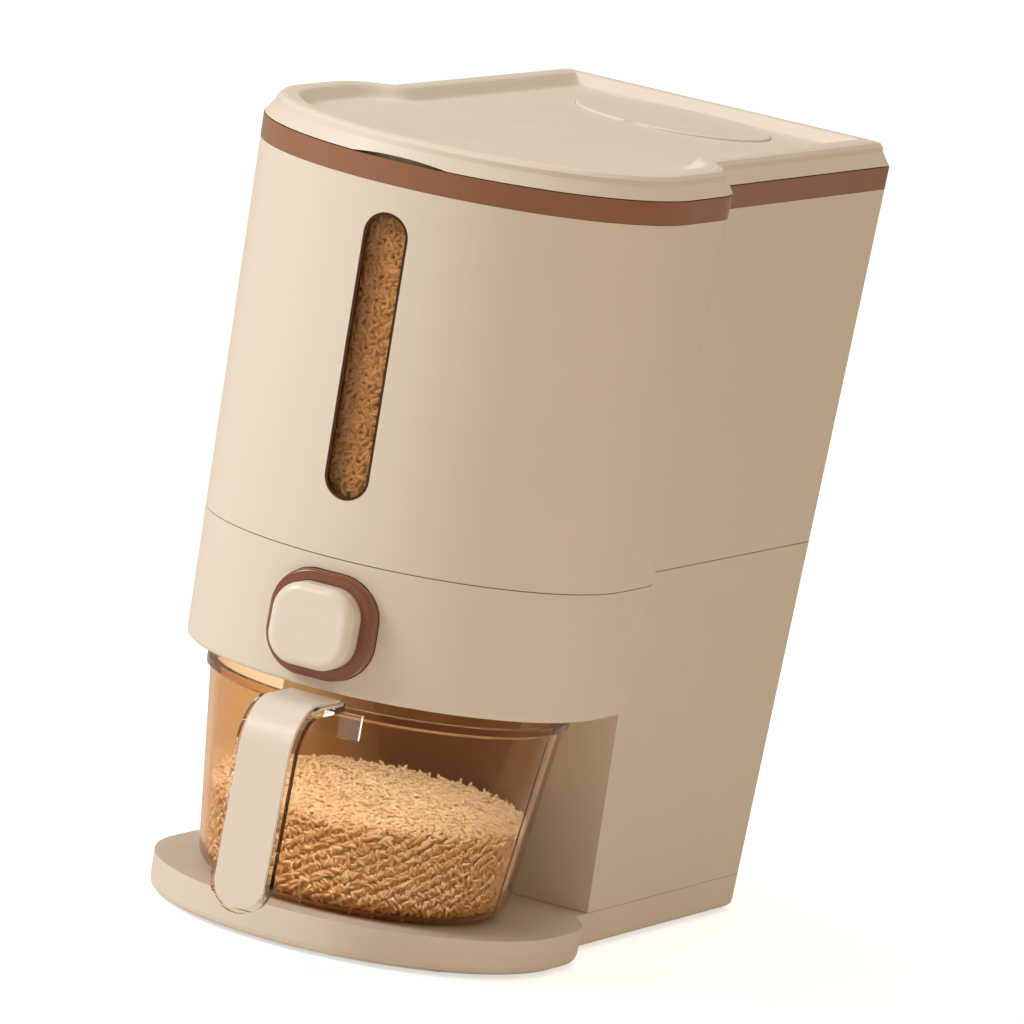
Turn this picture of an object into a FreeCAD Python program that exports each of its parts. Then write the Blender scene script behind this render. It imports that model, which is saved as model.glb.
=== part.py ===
import FreeCAD, Part
import Sketcher
import math
import os

# Rice dispenser with a drawer cup. Millimetres. X is to the right, the front faces -Y, Z is up.
# Sizes below are measured from the middle of the housing's depth, on the surface that the feet stand on.
# Each body is then set back a little, so that the model's origin is the middle of the whole, handle included.

DRIVING = {
    # plan of the housing, measured at the top of the lid
    "lobe_half_width": 93.0,      # round front lobe, from the middle plane to its side
    "box_half_width": 80.0,       # narrower box behind the lobe
    "front_reach": 176.0,         # from the origin to the front of the lobe
    "rear_reach": 176.0,          # from the origin to the rear face
    "bay_back": 4.0,              # from the origin forward to the lobe's end and to the foot of the cup's bay
    "bay_lean": 0.13,             # how far the bay's back leans forward, per millimetre up
    "lobe_corner": 45.0,          # radius where the lobe turns in toward the box
    "notch_round": 4.0,           # hollow radius where the lobe meets the box's side
    "box_corner": 7.0,            # radius of the two rear upright edges
    "side_draft": 0.015,          # how far each side leans in, per millimetre down
    "front_draft": 0.064,         # how far the front leans back, per millimetre down
    "rear_draft": 0.020,          # how far the rear leans forward, per millimetre down
    # levels
    "foot_height": 1.5,
    "base_top": 16.5,
    "overhang_level": 109.0,
    "seam_level": 163.5,
    "band_bottom": 318.5,
    "band_top": 328.5,
    "lid_top": 338.0,
    # walls and fits
    "wall": 2.4,
    "base_wall": 5.0,
    "floor_wall": 2.4,
    "fit_gap": 0.3,
    "seam_gap": 0.4,
    "spigot_rise": 5.0,
    "spigot_wall": 2.0,
    "running_gap": 0.05,
    "root_overlap": 0.5,          # how far an added feature sinks into what carries it
    "waste": 2.0,                 # how far a cutting outline reaches past the piece
    "least_corner": 0.8,          # smallest corner radius that an inset plan keeps
    # base
    "base_edge_round": 3.5,
    "overhang_round": 2.0,
    "cover_wall": 2.5,
    "foot_radius": 9.0,
    "foot_side": 52.0,
    "foot_front": 112.0,
    "foot_rear": 146.0,
    "screw_radius": 1.5,
    "screw_head_radius": 3.0,
    "screw_head_height": 1.6,
    "screw_boss_radius": 4.5,
    "screw_side": 58.0,
    "screw_front": 84.0,
    "screw_middle": 24.0,
    "screw_rear": 120.0,
    "screw_reach": 8.0,
    # window in the upper bin
    "window_half_width": 8.7,
    "window_bottom": 189.0,
    "window_top": 306.0,
    "bezel_width": 0.9,
    "bezel_sink": 0.3,
    "lens_wall": 2.0,
    "lens_lap": 4.0,
    # hopper and chute
    "mouth_half_width": 15.0,
    "mouth_half_depth": 8.5,
    "mouth_level": 153.0,
    "hopper_rise": 106.0,
    "hopper_rear_run": 252.0,     # how far each slope runs out over the rise
    "hopper_front_run": 265.0,
    "hopper_side_run": 170.0,
    "hopper_wall": 2.2,
    "chute_wall": 1.8,
    "outlet_y": 82.0,             # the outlet's middle, forward of the origin
    "floor_hole_half_width": 21.0,
    "floor_hole_front": 11.0,
    "floor_hole_rear": 21.0,
    "bracket_half_width": 12.0,   # foot that stands the chute on the collar's floor
    "bracket_drop": 10.3,         # from the gate's axis down to the web's upper end
    "bracket_web": 5.4,           # from the gate's floor up to the web's lower end
    "bracket_lip": 2.0,
    "bracket_heel": 10.0,
    # radial gate under the chute
    "gate_radius": 30.0,
    "gate_wall": 2.0,
    "gate_half_angle": 20.0,
    "gate_gap": 0.4,
    "gate_floor_gap": 2.6,
    "gate_pin_radius": 2.5,
    "gate_pin_head": 4.0,
    "gate_hub_radius": 5.0,
    "lever_reach": 11.5,
    "lever_pin_radius": 1.8,
    "lever_pin_length": 4.2,
    "lever_boss_radius": 3.6,
    # button
    "button_half_width": 18.0,
    "button_half_height": 17.0,
    "button_corner": 12.5,
    "button_level": 136.0,
    "button_face": 178.0,         # the cap's face, forward of the origin
    "button_depth": 26.0,
    "button_wall": 2.0,
    "button_face_wall": 3.0,
    "button_round": 4.0,
    "surround_rim": 5.0,
    "surround_face": 167.5,
    "surround_depth": 17.0,
    "surround_round": 1.8,
    "yoke_front": 140.0,
    "yoke_wall": 4.0,
    "yoke_arm_wall": 3.0,
    "yoke_arm_end": 5.8,          # from the lever pin's axis to the arm's end
    "yoke_half_height": 5.0,
    "yoke_boss_radius": 7.0,
    "spring_radius": 5.5,
    "spring_wire": 0.6,
    "spring_turns": 7.0,
    # lid
    "lid_top_inset": 8.0,
    "lid_round": 4.0,
    "pan_level": 333.2,
    "pan_inset": 12.5,
    "pan_slope": 6.0,
    "lid_wall": 2.2,
    "lid_side_wall": 4.0,
    "liner_drop": 6.5,
    "liner_wall": 1.8,
    "seal_height": 3.2,
    "seal_wall": 1.6,
    "grip_half_width": 21.0,
    "grip_height": 1.6,
    "grip_depth": 7.0,
    # lid hinge
    "hinge_side": 48.0,
    "hinge_behind": 4.0,
    "hinge_radius": 3.4,
    "hinge_pin_radius": 1.6,
    "hinge_knuckle": 13.0,
    "hinge_ear": 4.0,
    "hinge_plate": 2.5,
    "hinge_plate_height": 18.0,
    "hinge_room_drop": 5.4,       # depth of the knuckle's room under the hinge axis
    # repellent box in the lid
    "cap_radius": 42.0,
    "cap_y": 115.5,               # the cap's middle, behind the origin
    "cap_wall": 1.8,
    "cap_sink": 1.0,
    "cap_round": 0.7,
    "cap_ring_drop": 5.0,
    "thumb_notch_radius": 12.2,
    "thumb_notch_reach": 52.5,    # from the cap's middle forward to the notch's middle
    "thumb_notch_depth": 0.9,
    "basket_radius": 33.0,
    "basket_depth": 15.0,
    "basket_wall": 1.4,
    "pad_height": 12.0,
    "slot_half_width": 1.3,
    "slot_pitch": 6.5,
    # cup
    "cup_y": 81.0,                # the cup's middle, forward of the origin
    "cup_rim_radius": 74.5,
    "cup_foot_radius": 64.2,      # where the leaning wall meets the foot's level
    "cup_rim_level": 103.5,
    "cup_wall": 2.2,
    "cup_edge": 9.0,
    "cup_bead": 1.4,
    "cup_bead_height": 2.8,
    "cup_lift": 0.3,
    "bay_gap": 0.4,               # clearance between the cup's rim and the bay's recess
    "rice_level": 60.0,           # top of the rice at the rear of the cup
    "rice_fall": 5.5,             # how much lower it lies at the front
    # handle
    "handle_half_width": 13.2,
    "handle_front": 199.0,
    "handle_bottom": 18.8,
    "handle_top": 105.5,
    "handle_bend": 20.0,
    "handle_wall": 4.0,
    "flange_half_angle": 16.0,    # the curved flange that hugs the cup below the handle's root
    "flange_wall": 2.6,
    "flange_drop": 10.0,
    "strap_wall": 2.2,
    "strap_sink": 1.5,
    "strap_margin": 2.2,
}

doc = FreeCAD.newDocument("RiceDispenser")
sheet = doc.addObject("Spreadsheet::Sheet", "Sizes")


class Size:
    """A length that knows both its expression on the sheet and its present number."""

    def __init__(self, text, number):
        self.text = text
        self.number = number

    def __add__(self, other):
        other = as_size(other)
        return Size(f"({self.text} + {other.text})", self.number + other.number)

    def __sub__(self, other):
        other = as_size(other)
        return Size(f"({self.text} - {other.text})", self.number - other.number)

    def __mul__(self, other):
        other = as_size(other)
        return Size(f"({self.text} * {other.text})", self.number * other.number)

    def __truediv__(self, other):
        other = as_size(other)
        return Size(f"({self.text} / {other.text})", self.number / other.number)

    def __radd__(self, other):
        return as_size(other) + self

    def __rsub__(self, other):
        return as_size(other) - self

    def __rmul__(self, other):
        return as_size(other) * self

    def __neg__(self):
        return Size(f"(0 - {self.text})", -self.number)


def as_size(value):
    """Wrap a bare count or factor, so that it can be mixed with sheet sizes."""
    return value if isinstance(value, Size) else Size(repr(float(value)), float(value))


def sine(angle):
    return Size(f"sin({angle.text} * 1deg)", math.sin(math.radians(angle.number)))


def cosine(angle):
    return Size(f"cos({angle.text} * 1deg)", math.cos(math.radians(angle.number)))


def leg(long_side, other):
    """The third side of a right-angled triangle, from its longest side and another."""
    number = math.sqrt(long_side.number ** 2 - other.number ** 2)
    return Size(f"sqrt({long_side.text} ^ 2 - {other.text} ^ 2)", number)


class SheetSizes:
    """Gives each sheet alias as a Size, by attribute."""

    def __getattr__(self, alias):
        return Size(f"Sizes.{alias}", DRIVING[alias])


S = SheetSizes()


def fill_sheet():
    for row, (alias, number) in enumerate(DRIVING.items(), start=1):
        sheet.set(f"A{row}", alias)
        sheet.set(f"B{row}", str(number))
        sheet.setAlias(f"B{row}", alias)
    doc.recompute()


def bind(item, path, size):
    """Bind one property or sketch constraint to its expression."""
    item.setExpression(path, as_size(size).text)


# ---------------------------------------------------------------- sketches

X_AXIS_GEO = -1
Y_AXIS_GEO = -2
START = 1
END = 2
MIDDLE = 3
NIL = 1e-9                # below this a distance counts as none
EDGE_TOLERANCE = 0.05     # how far an edge may lie off the level that names it
QUARTER = math.pi / 2


def new_body(label, x=0.0, y=0.0, z=0.0):
    """A body named after its node, with its local origin at x, y, z from the housing's middle."""
    body = doc.addObject("PartDesign::Body", label)
    body.Label = label
    origin = [as_size(value) for value in (x, y + set_back(), z)]
    body.Placement = FreeCAD.Placement(FreeCAD.Vector(*[v.number for v in origin]), FreeCAD.Rotation())
    for axis, value in zip("xyz", origin):
        bind(body, f"Placement.Base.{axis}", value)
    return body


def set_back():
    """How far the housing's middle lies behind the middle of the whole."""
    rear = hinge_y() + S.hinge_radius
    return (S.handle_front + strap_proud() - rear) / 2


def new_sketch(body, name, plane="XY", offset=0.0):
    """A sketch on one of the body's origin planes. Offset runs along +Z, +X, and toward the front for XZ."""
    sketch = body.newObject("Sketcher::SketchObject", name)
    features = body.Origin.OriginFeatures
    origin_plane = [item for item in features if item.Role == f"{plane}_Plane"][0]
    sketch.AttachmentSupport = [(origin_plane, "")]
    sketch.MapMode = "FlatFace"
    bind(sketch, "AttachmentOffset.Base.z", offset)
    return sketch


def limit(sketch, kind, *arguments):
    """Add a dimension whose last argument is a Size, bound to its expression."""
    size = as_size(arguments[-1])
    index = sketch.addConstraint(Sketcher.Constraint(kind, *arguments[:-1], size.number))
    bind(sketch, f"Constraints[{index}]", size)


def place_point(sketch, geo, position, x=None, y=None):
    """Fix a vertex by its distances from the sketch's origin."""
    for kind, value, axis in (("DistanceX", x, Y_AXIS_GEO), ("DistanceY", y, X_AXIS_GEO)):
        if value is None:
            continue
        value = as_size(value)
        if abs(value.number) < NIL:
            sketch.addConstraint(Sketcher.Constraint("PointOnObject", geo, position, axis))
        elif value.number > 0:
            limit(sketch, kind, -1, 1, geo, position, value)
        else:
            limit(sketch, kind, geo, position, -1, 1, -value)


def vector(x, y):
    return FreeCAD.Vector(as_size(x).number, as_size(y).number, 0)


def add_line(sketch, start, end):
    return sketch.addGeometry(Part.LineSegment(vector(*start), vector(*end)), False)


def add_arc(sketch, centre, radius, start_angle, end_angle):
    circle = Part.Circle(vector(*centre), FreeCAD.Vector(0, 0, 1), as_size(radius).number)
    return sketch.addGeometry(Part.ArcOfCircle(circle, start_angle, end_angle), False)


def join_corner(sketch, first, second):
    sketch.addConstraint(Sketcher.Constraint("Coincident", first, END, second, START))


def draw_circle(sketch, x, y, radius):
    circle = Part.Circle(vector(x, y), FreeCAD.Vector(0, 0, 1), as_size(radius).number)
    geo = sketch.addGeometry(circle, False)
    place_point(sketch, geo, MIDDLE, x, y)
    limit(sketch, "Radius", geo, radius)


def draw_polygon(sketch, corners):
    """A closed outline of straight sides through the corners, each an (x, y) pair of sizes."""
    count = len(corners)
    sides = [add_line(sketch, corners[i], corners[(i + 1) % count]) for i in range(count)]
    for i, side in enumerate(sides):
        join_corner(sketch, side, sides[(i + 1) % count])
        place_point(sketch, side, START, *corners[i])
    return sides


def draw_rectangle(sketch, left, right, low, high):
    return draw_polygon(sketch, [(left, low), (right, low), (right, high), (left, high)])


def draw_round_rectangle(sketch, half_width, low, high, radius):
    """A rectangle centred on the sketch's upright axis, with four equal round corners."""
    w, r = as_size(half_width), as_size(radius)
    low, high = as_size(low), as_size(high)
    bottom = add_line(sketch, (-w + r, low), (w - r, low))
    corner_a = add_arc(sketch, (w - r, low + r), r, -QUARTER, 0)
    right = add_line(sketch, (w, low + r), (w, high - r))
    corner_b = add_arc(sketch, (w - r, high - r), r, 0, QUARTER)
    top = add_line(sketch, (w - r, high), (-w + r, high))
    corner_c = add_arc(sketch, (-w + r, high - r), r, QUARTER, 2 * QUARTER)
    left = add_line(sketch, (-w, high - r), (-w, low + r))
    corner_d = add_arc(sketch, (-w + r, low + r), r, 2 * QUARTER, 3 * QUARTER)
    ring = [bottom, corner_a, right, corner_b, top, corner_c, left, corner_d]
    for first, second in zip(ring, ring[1:] + ring[:1]):
        sketch.addConstraint(Sketcher.Constraint("Tangent", first, END, second, START))
    for corner, x, y in ((corner_a, w - r, low + r), (corner_b, w - r, high - r),
                         (corner_c, -w + r, high - r), (corner_d, -w + r, low + r)):
        place_point(sketch, corner, MIDDLE, x, y)
    limit(sketch, "Radius", corner_a, r)


def draw_slot(sketch, x, low, high, half_width):
    """An upright slot with round ends."""
    x, low, high, r = as_size(x), as_size(low), as_size(high), as_size(half_width)
    right = add_line(sketch, (x + r, low + r), (x + r, high - r))
    top = add_arc(sketch, (x, high - r), r, 0, math.pi)
    left = add_line(sketch, (x - r, high - r), (x - r, low + r))
    bottom = add_arc(sketch, (x, low + r), r, math.pi, 2 * math.pi)
    ring = [right, top, left, bottom]
    for first, second in zip(ring, ring[1:] + ring[:1]):
        sketch.addConstraint(Sketcher.Constraint("Tangent", first, END, second, START))
    place_point(sketch, top, MIDDLE, x, high - r)
    place_point(sketch, bottom, MIDDLE, x, low + r)
    limit(sketch, "Radius", top, r)


# ---------------------------------------------------------------- features

def loft(body, low, high, cut=False):
    """A straight-sided loft between two sketches, added or cut."""
    kind = "PartDesign::SubtractiveLoft" if cut else "PartDesign::AdditiveLoft"
    feature = body.newObject(kind, f"{body.Label}_loft")
    feature.Profile = low
    feature.Sections = [high]
    feature.Ruled = True
    return feature


def pad(body, sketch, length, both_ways=False, back=False):
    feature = body.newObject("PartDesign::Pad", f"{body.Label}_pad")
    feature.Profile = sketch
    feature.SideType = "Symmetric" if both_ways else "One side"
    feature.Reversed = back
    bind(feature, "Length", length)
    return feature


def pocket(body, sketch, length, both_ways=False, back=False):
    feature = body.newObject("PartDesign::Pocket", f"{body.Label}_pocket")
    feature.Profile = sketch
    feature.SideType = "Symmetric" if both_ways else "One side"
    feature.Reversed = back
    bind(feature, "Length", length)
    return feature


def revolve(body, sketch):
    """Turn a profile a full turn about the sketch's upright axis."""
    feature = body.newObject("PartDesign::Revolution", f"{body.Label}_turned")
    feature.Profile = sketch
    feature.ReferenceAxis = (sketch, ["V_Axis"])
    feature.Angle = 360
    return feature


def mirror(body, features):
    """Repeat features on the other side of the middle plane."""
    doc.recompute()
    middle_plane = [item for item in body.Origin.OriginFeatures if item.Role == "YZ_Plane"][0]
    copy = body.newObject("PartDesign::Mirrored", f"{body.Label}_mirror")
    copy.Originals = features
    copy.MirrorPlane = (middle_plane, [""])
    body.Tip = copy
    return copy


def round_edges(body, radius, wanted):
    """Fillet the edges of the body's present tip that the given test picks."""
    doc.recompute()
    tip = body.Tip
    names = [f"Edge{i}" for i, edge in enumerate(tip.Shape.Edges, start=1) if wanted(edge)]
    feature = body.newObject("PartDesign::Fillet", f"{body.Label}_round")
    feature.Base = (tip, names)
    bind(feature, "Radius", radius)
    return feature


def level_edge(edge, level):
    """True where the whole edge lies at one height of the body, away from the turning axis."""
    box = edge.BoundBox
    off = max(abs(box.ZMin - level.number), abs(box.ZMax - level.number))
    return off < EDGE_TOLERANCE < box.XLength


def deep_edge(edge, reach):
    """True where the whole edge lies at one distance in front of the body's origin."""
    box = edge.BoundBox
    return max(abs(box.YMin + reach.number), abs(box.YMax + reach.number)) < EDGE_TOLERANCE


# ---------------------------------------------------------------- plan of the housing at a level

def at_least(size):
    """A corner radius that stays above the least one when insets use it up."""
    least = S.least_corner
    return Size(f"max({size.text}; {least.text})", max(size.number, least.number))


def lobe_half(level):
    return S.lobe_half_width - (S.lid_top - level) * S.side_draft


def box_half(level):
    return S.box_half_width - (S.lid_top - level) * S.side_draft


def front_at(level):
    """Distance from the origin forward to the lobe's front."""
    return S.front_reach - (S.lid_top - level) * S.front_draft


def rear_at(level):
    return S.rear_reach - (S.lid_top - level) * S.rear_draft


def lobe_middle(level):
    """Distance from the origin forward to the middle of the lobe's half circle."""
    return front_at(level) - lobe_half(level)


def bay_front(level):
    """Distance from the origin forward to the back of the cup's bay, which is the column's face."""
    return S.bay_back + (level - S.base_top) * S.bay_lean


def draw_housing(sketch, level, inset):
    """The whole plan: round lobe that turns in to meet the narrower box, drawn from the right side."""
    level, inset = as_size(level), as_size(inset)
    lobe, box = lobe_half(level) - inset, box_half(level) - inset
    middle, rear = lobe_middle(level), rear_at(level) - inset
    turn, corner = at_least(S.lobe_corner - inset), at_least(S.box_corner - inset)
    hollow = S.notch_round + inset
    turn_x, turn_y = lobe - turn, S.bay_back + inset + turn
    neck_x = box + hollow
    neck_y = turn_y - leg(turn + hollow, neck_x - turn_x)
    meet = math.acos((neck_x - turn_x).number / (turn + hollow).number)
    front = add_arc(sketch, (0, -middle), lobe, -2 * QUARTER, 0)
    side_r = add_line(sketch, (lobe, -middle), (lobe, -turn_y))
    turn_r = add_arc(sketch, (turn_x, -turn_y), turn, 0, meet)
    neck_r = add_arc(sketch, (neck_x, -neck_y), hollow, 2 * QUARTER, 2 * QUARTER + meet)
    box_r = add_line(sketch, (box, -neck_y), (box, rear - corner))
    corner_r = add_arc(sketch, (box - corner, rear - corner), corner, 0, QUARTER)
    back = add_line(sketch, (box - corner, rear), (corner - box, rear))
    corner_l = add_arc(sketch, (corner - box, rear - corner), corner, QUARTER, 2 * QUARTER)
    box_l = add_line(sketch, (-box, rear - corner), (-box, -neck_y))
    neck_l = add_arc(sketch, (-neck_x, -neck_y), hollow, -meet, 0)
    turn_l = add_arc(sketch, (-turn_x, -turn_y), turn, 2 * QUARTER - meet, 2 * QUARTER)
    side_l = add_line(sketch, (-lobe, -turn_y), (-lobe, -middle))
    for first, a, second, b in (
            (front, END, side_r, START), (side_r, END, turn_r, START), (turn_r, END, neck_r, END),
            (neck_r, START, box_r, START), (box_r, END, corner_r, START), (corner_r, END, back, START),
            (back, END, corner_l, START), (corner_l, END, box_l, START), (box_l, END, neck_l, END),
            (neck_l, START, turn_l, START), (turn_l, END, side_l, START), (side_l, END, front, START)):
        sketch.addConstraint(Sketcher.Constraint("Tangent", first, a, second, b))
    for line in (box_r, box_l):
        sketch.addConstraint(Sketcher.Constraint("Vertical", line))
    place_point(sketch, front, MIDDLE, 0, -middle)
    limit(sketch, "Radius", front, lobe)
    for turned, neck, side in ((turn_r, neck_r, 1), (turn_l, neck_l, -1)):
        place_point(sketch, turned, MIDDLE, side * turn_x, -turn_y)
        limit(sketch, "Radius", turned, turn)
        limit(sketch, "Radius", neck, hollow)
    for cornered, side in ((corner_r, 1), (corner_l, -1)):
        place_point(sketch, cornered, MIDDLE, side * (box - corner), rear - corner)
        limit(sketch, "Radius", cornered, corner)


def draw_box_plan(sketch, level, inset):
    """The plan of the rear box alone, square at the bay and round at the rear."""
    level, inset = as_size(level), as_size(inset)
    box, rear, front = box_half(level) - inset, rear_at(level) - inset, bay_front(level) - inset
    corner = at_least(S.box_corner - inset)
    face = add_line(sketch, (-box, -front), (box, -front))
    side_r = add_line(sketch, (box, -front), (box, rear - corner))
    corner_r = add_arc(sketch, (box - corner, rear - corner), corner, 0, QUARTER)
    back = add_line(sketch, (box - corner, rear), (corner - box, rear))
    corner_l = add_arc(sketch, (corner - box, rear - corner), corner, QUARTER, 2 * QUARTER)
    side_l = add_line(sketch, (-box, rear - corner), (-box, -front))
    ring = [face, side_r, corner_r, back, corner_l, side_l]
    for first, second in zip(ring, ring[1:] + ring[:1]):
        kind = "Coincident" if face in (first, second) else "Tangent"
        sketch.addConstraint(Sketcher.Constraint(kind, first, END, second, START))
    sketch.addConstraint(Sketcher.Constraint("Horizontal", face))
    for line in (side_r, side_l):
        sketch.addConstraint(Sketcher.Constraint("Vertical", line))
    for cornered, side in ((corner_r, 1), (corner_l, -1)):
        place_point(sketch, cornered, MIDDLE, side * (box - corner), rear - corner)
        limit(sketch, "Radius", cornered, corner)
    place_point(sketch, face, START, None, -front)


def housing_block(body, low, high, inset_low, inset_high=None, cut=False, plan=draw_housing):
    """A tapered block of the housing's plan between two levels, added or cut."""
    inset_high = inset_low if inset_high is None else inset_high
    name = "cut" if cut else "block"
    bottom = new_sketch(body, f"{body.Label}_{name}_low", "XY", low)
    plan(bottom, low, inset_low)
    top = new_sketch(body, f"{body.Label}_{name}_high", "XY", high)
    plan(top, high, inset_high)
    return loft(body, bottom, top, cut)


def stack(body, steps, cut=False):
    """Tapered blocks one on another, through a list of (level, inset) pairs."""
    for (low, inset_low), (high, inset_high) in zip(steps, steps[1:]):
        block = housing_block(body, low, high, inset_low, inset_high, cut)
    return block


ROUND_STEPS = 3
SLOPE_STEPS = 5


def round_foot(level, radius, inset=0):
    """The (level, inset) pairs of a rounded lower edge, from its lowest line up."""
    steps = []
    for count in range(ROUND_STEPS + 1):
        turn = as_size(90.0 * count / ROUND_STEPS)
        steps.append((level + radius * (1 - cosine(turn)), inset + radius * (1 - sine(turn))))
    return steps


def round_shoulder(level, radius, inset):
    """The (level, inset) pairs of a rounded upper edge that ends at a level and an inset."""
    steps = []
    for count in range(ROUND_STEPS + 1):
        turn = as_size(90.0 * count / ROUND_STEPS)
        steps.append((level - radius * (1 - sine(turn)), inset - radius * cosine(turn)))
    return steps


def soft_slope(low, high, inset_low, inset_high):
    """The (level, inset) pairs of a slope that starts and ends level, from its lowest line up."""
    steps = []
    for count in range(SLOPE_STEPS + 1):
        part = count / SLOPE_STEPS
        rise = (1 - cosine(as_size(180.0 * part))) / 2
        steps.append((low + (high - low) * rise, inset_low + (inset_high - inset_low) * part))
    return steps


def lobe_block(body, low, high, inset, cut=False):
    """A tapered round block on the lobe's own middle, for pieces that follow the curved front."""
    sketches = []
    for level, name in ((low, "low"), (high, "high")):
        sketch = new_sketch(body, f"{body.Label}_lobe_{name}", "XY", level)
        draw_circle(sketch, 0, -lobe_middle(level), lobe_half(level) - inset)
        sketches.append(sketch)
    return loft(body, sketches[0], sketches[1], cut)


# ---------------------------------------------------------------- base

def screw_places():
    """Where the base screws stand: three along each side, as (x, y) sizes."""
    rows = (-S.screw_front, S.screw_middle, S.screw_rear)
    return [(side * S.screw_side, y) for side in (-1, 1) for y in rows]


def foot_places():
    return [(side * S.foot_side, y) for side in (-1, 1) for y in (-S.foot_front, S.foot_rear)]


def make_base_tray():
    """The platform that the cup stands on, with the same plan as the housing and a round lower edge."""
    body = new_body("base_tray")
    stack(body, round_foot(S.foot_height, S.base_edge_round) + [(S.base_top, 0)])
    housing_block(body, S.foot_height, S.base_top - S.floor_wall, S.base_wall, cut=True)
    bosses = new_sketch(body, "base_tray_bosses", "XY", S.foot_height + S.cover_wall)
    for x, y in screw_places():
        draw_circle(bosses, x, y, S.screw_boss_radius)
    pad(body, bosses, S.base_top - S.floor_wall - S.foot_height - S.cover_wall + S.root_overlap)
    holes = new_sketch(body, "base_tray_holes", "XY", S.foot_height + S.cover_wall)
    for x, y in screw_places():
        draw_circle(holes, x, y, S.screw_radius + S.running_gap)
    pocket(body, holes, S.screw_reach, back=True)
    return body


def make_base_cover():
    """The flat plate that closes the tray from below."""
    body = new_body("base_cover")
    housing_block(body, S.foot_height, S.foot_height + S.cover_wall, S.base_wall + S.fit_gap)
    for name, radius, depth in (("heads", S.screw_head_radius + S.fit_gap, S.screw_head_height),
                                ("shanks", S.screw_radius + S.running_gap, S.cover_wall)):
        sketch = new_sketch(body, f"base_cover_{name}", "XY", S.foot_height)
        for x, y in screw_places():
            draw_circle(sketch, x, y, radius)
        pocket(body, sketch, depth, back=True)
    return body


def make_base_screws():
    """Six countersunk screws that hold the cover to the tray's bosses."""
    body = new_body("base_screws")
    body.AllowCompound = True
    heads = new_sketch(body, "base_screws_heads", "XY", S.foot_height)
    shanks = new_sketch(body, "base_screws_shanks", "XY", S.foot_height)
    for x, y in screw_places():
        draw_circle(heads, x, y, S.screw_head_radius)
        draw_circle(shanks, x, y, S.screw_radius)
    pad(body, heads, S.screw_head_height)
    pad(body, shanks, S.cover_wall + S.screw_reach)
    return body


def make_rubber_feet():
    body = new_body("rubber_feet")
    body.AllowCompound = True
    sketch = new_sketch(body, "rubber_feet_plan", "XY", 0)
    for x, y in foot_places():
        draw_circle(sketch, x, y, S.foot_radius)
    pad(body, sketch, S.foot_height)
    return body


# ---------------------------------------------------------------- housing shells

def neck_inset():
    """Inset of the outer face of the rings that rise past a seam."""
    return S.wall + S.fit_gap


def neck_hollow():
    """Inset of the inner face of those rings."""
    return neck_inset() + S.spigot_wall


def right_through():
    """A length that takes a cut past the far side of the housing."""
    return S.front_reach + S.rear_reach


def spigot(body, seam, top):
    """A ring inside the wall that rises past a seam and centres the piece around or above it."""
    root = seam - S.spigot_rise
    housing_block(body, root, seam, S.wall / 2)
    housing_block(body, seam, top, neck_inset())
    housing_block(body, root, top, neck_hollow(), cut=True)


def line_bay(body):
    """The shallow round recess in the column's face that clears the cup's rim, with a wall behind it."""
    radius = S.cup_rim_radius + S.cup_bead + S.bay_gap
    half_width = leg(radius, S.cup_y - bay_front(S.overhang_level)) + S.wall
    rectangles = []
    for level, name in ((S.base_top + S.seam_gap / 2, "low"), (S.overhang_level + S.floor_wall, "high")):
        sketch = new_sketch(body, f"lower_housing_recess_{name}", "XY", level)
        draw_rectangle(sketch, -half_width, half_width, S.wall / 2 - bay_front(level), S.wall - S.bay_back)
        rectangles.append(sketch)
    loft(body, *rectangles)
    recess = new_sketch(body, "lower_housing_recess", "XY", S.overhang_level)
    draw_circle(recess, 0, -S.cup_y, radius)
    pocket(body, recess, S.overhang_level - S.base_top)


def make_lower_housing():
    """Column behind the bay and the deep collar above it that carries the button and the gate."""
    body = new_body("lower_housing")
    stack(body, round_foot(S.overhang_level, S.overhang_round) + [(S.seam_level, 0)])
    housing_block(body, S.base_top + S.seam_gap / 2, S.overhang_level + S.floor_wall, 0, plan=draw_box_plan)
    housing_block(body, S.overhang_level + S.floor_wall, S.seam_level, S.wall, cut=True)
    spigot(body, S.seam_level, S.seam_level + S.spigot_rise)
    housing_block(body, S.base_top + S.seam_gap / 2, S.overhang_level + S.floor_wall * 2, S.wall,
                  cut=True, plan=draw_box_plan)
    line_bay(body)
    hole = new_sketch(body, "lower_housing_outlet", "XY", S.overhang_level)
    draw_rectangle(hole, -S.floor_hole_half_width, S.floor_hole_half_width,
                   -S.outlet_y - S.floor_hole_front, -S.outlet_y + S.floor_hole_rear)
    pocket(body, hole, S.floor_wall, back=True)
    opening = new_sketch(body, "lower_housing_button", "XZ", lobe_middle(S.button_level))
    half_w = S.button_half_width + S.surround_rim + S.fit_gap
    half_h = S.button_half_height + S.surround_rim + S.fit_gap
    draw_round_rectangle(opening, half_w, S.button_level - half_h, S.button_level + half_h,
                         S.button_corner + S.surround_rim + S.fit_gap)
    pocket(body, opening, right_through(), back=True)
    return body


def make_upper_bin():
    """The rice bin's wall with the tall window slot, and the neck that the band hides."""
    body = new_body("upper_bin")
    housing_block(body, S.seam_level + S.seam_gap, S.band_bottom, 0)
    housing_block(body, S.seam_level + S.seam_gap, S.band_bottom, S.wall, cut=True)
    spigot(body, S.band_bottom, S.band_top - S.seam_gap)
    slot = new_sketch(body, "upper_bin_window", "XZ", lobe_middle(S.seam_level))
    rim = S.bezel_width + S.fit_gap
    draw_slot(slot, 0, S.window_bottom - rim, S.window_top + rim, S.window_half_width + rim)
    pocket(body, slot, right_through(), back=True)
    return body


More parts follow.
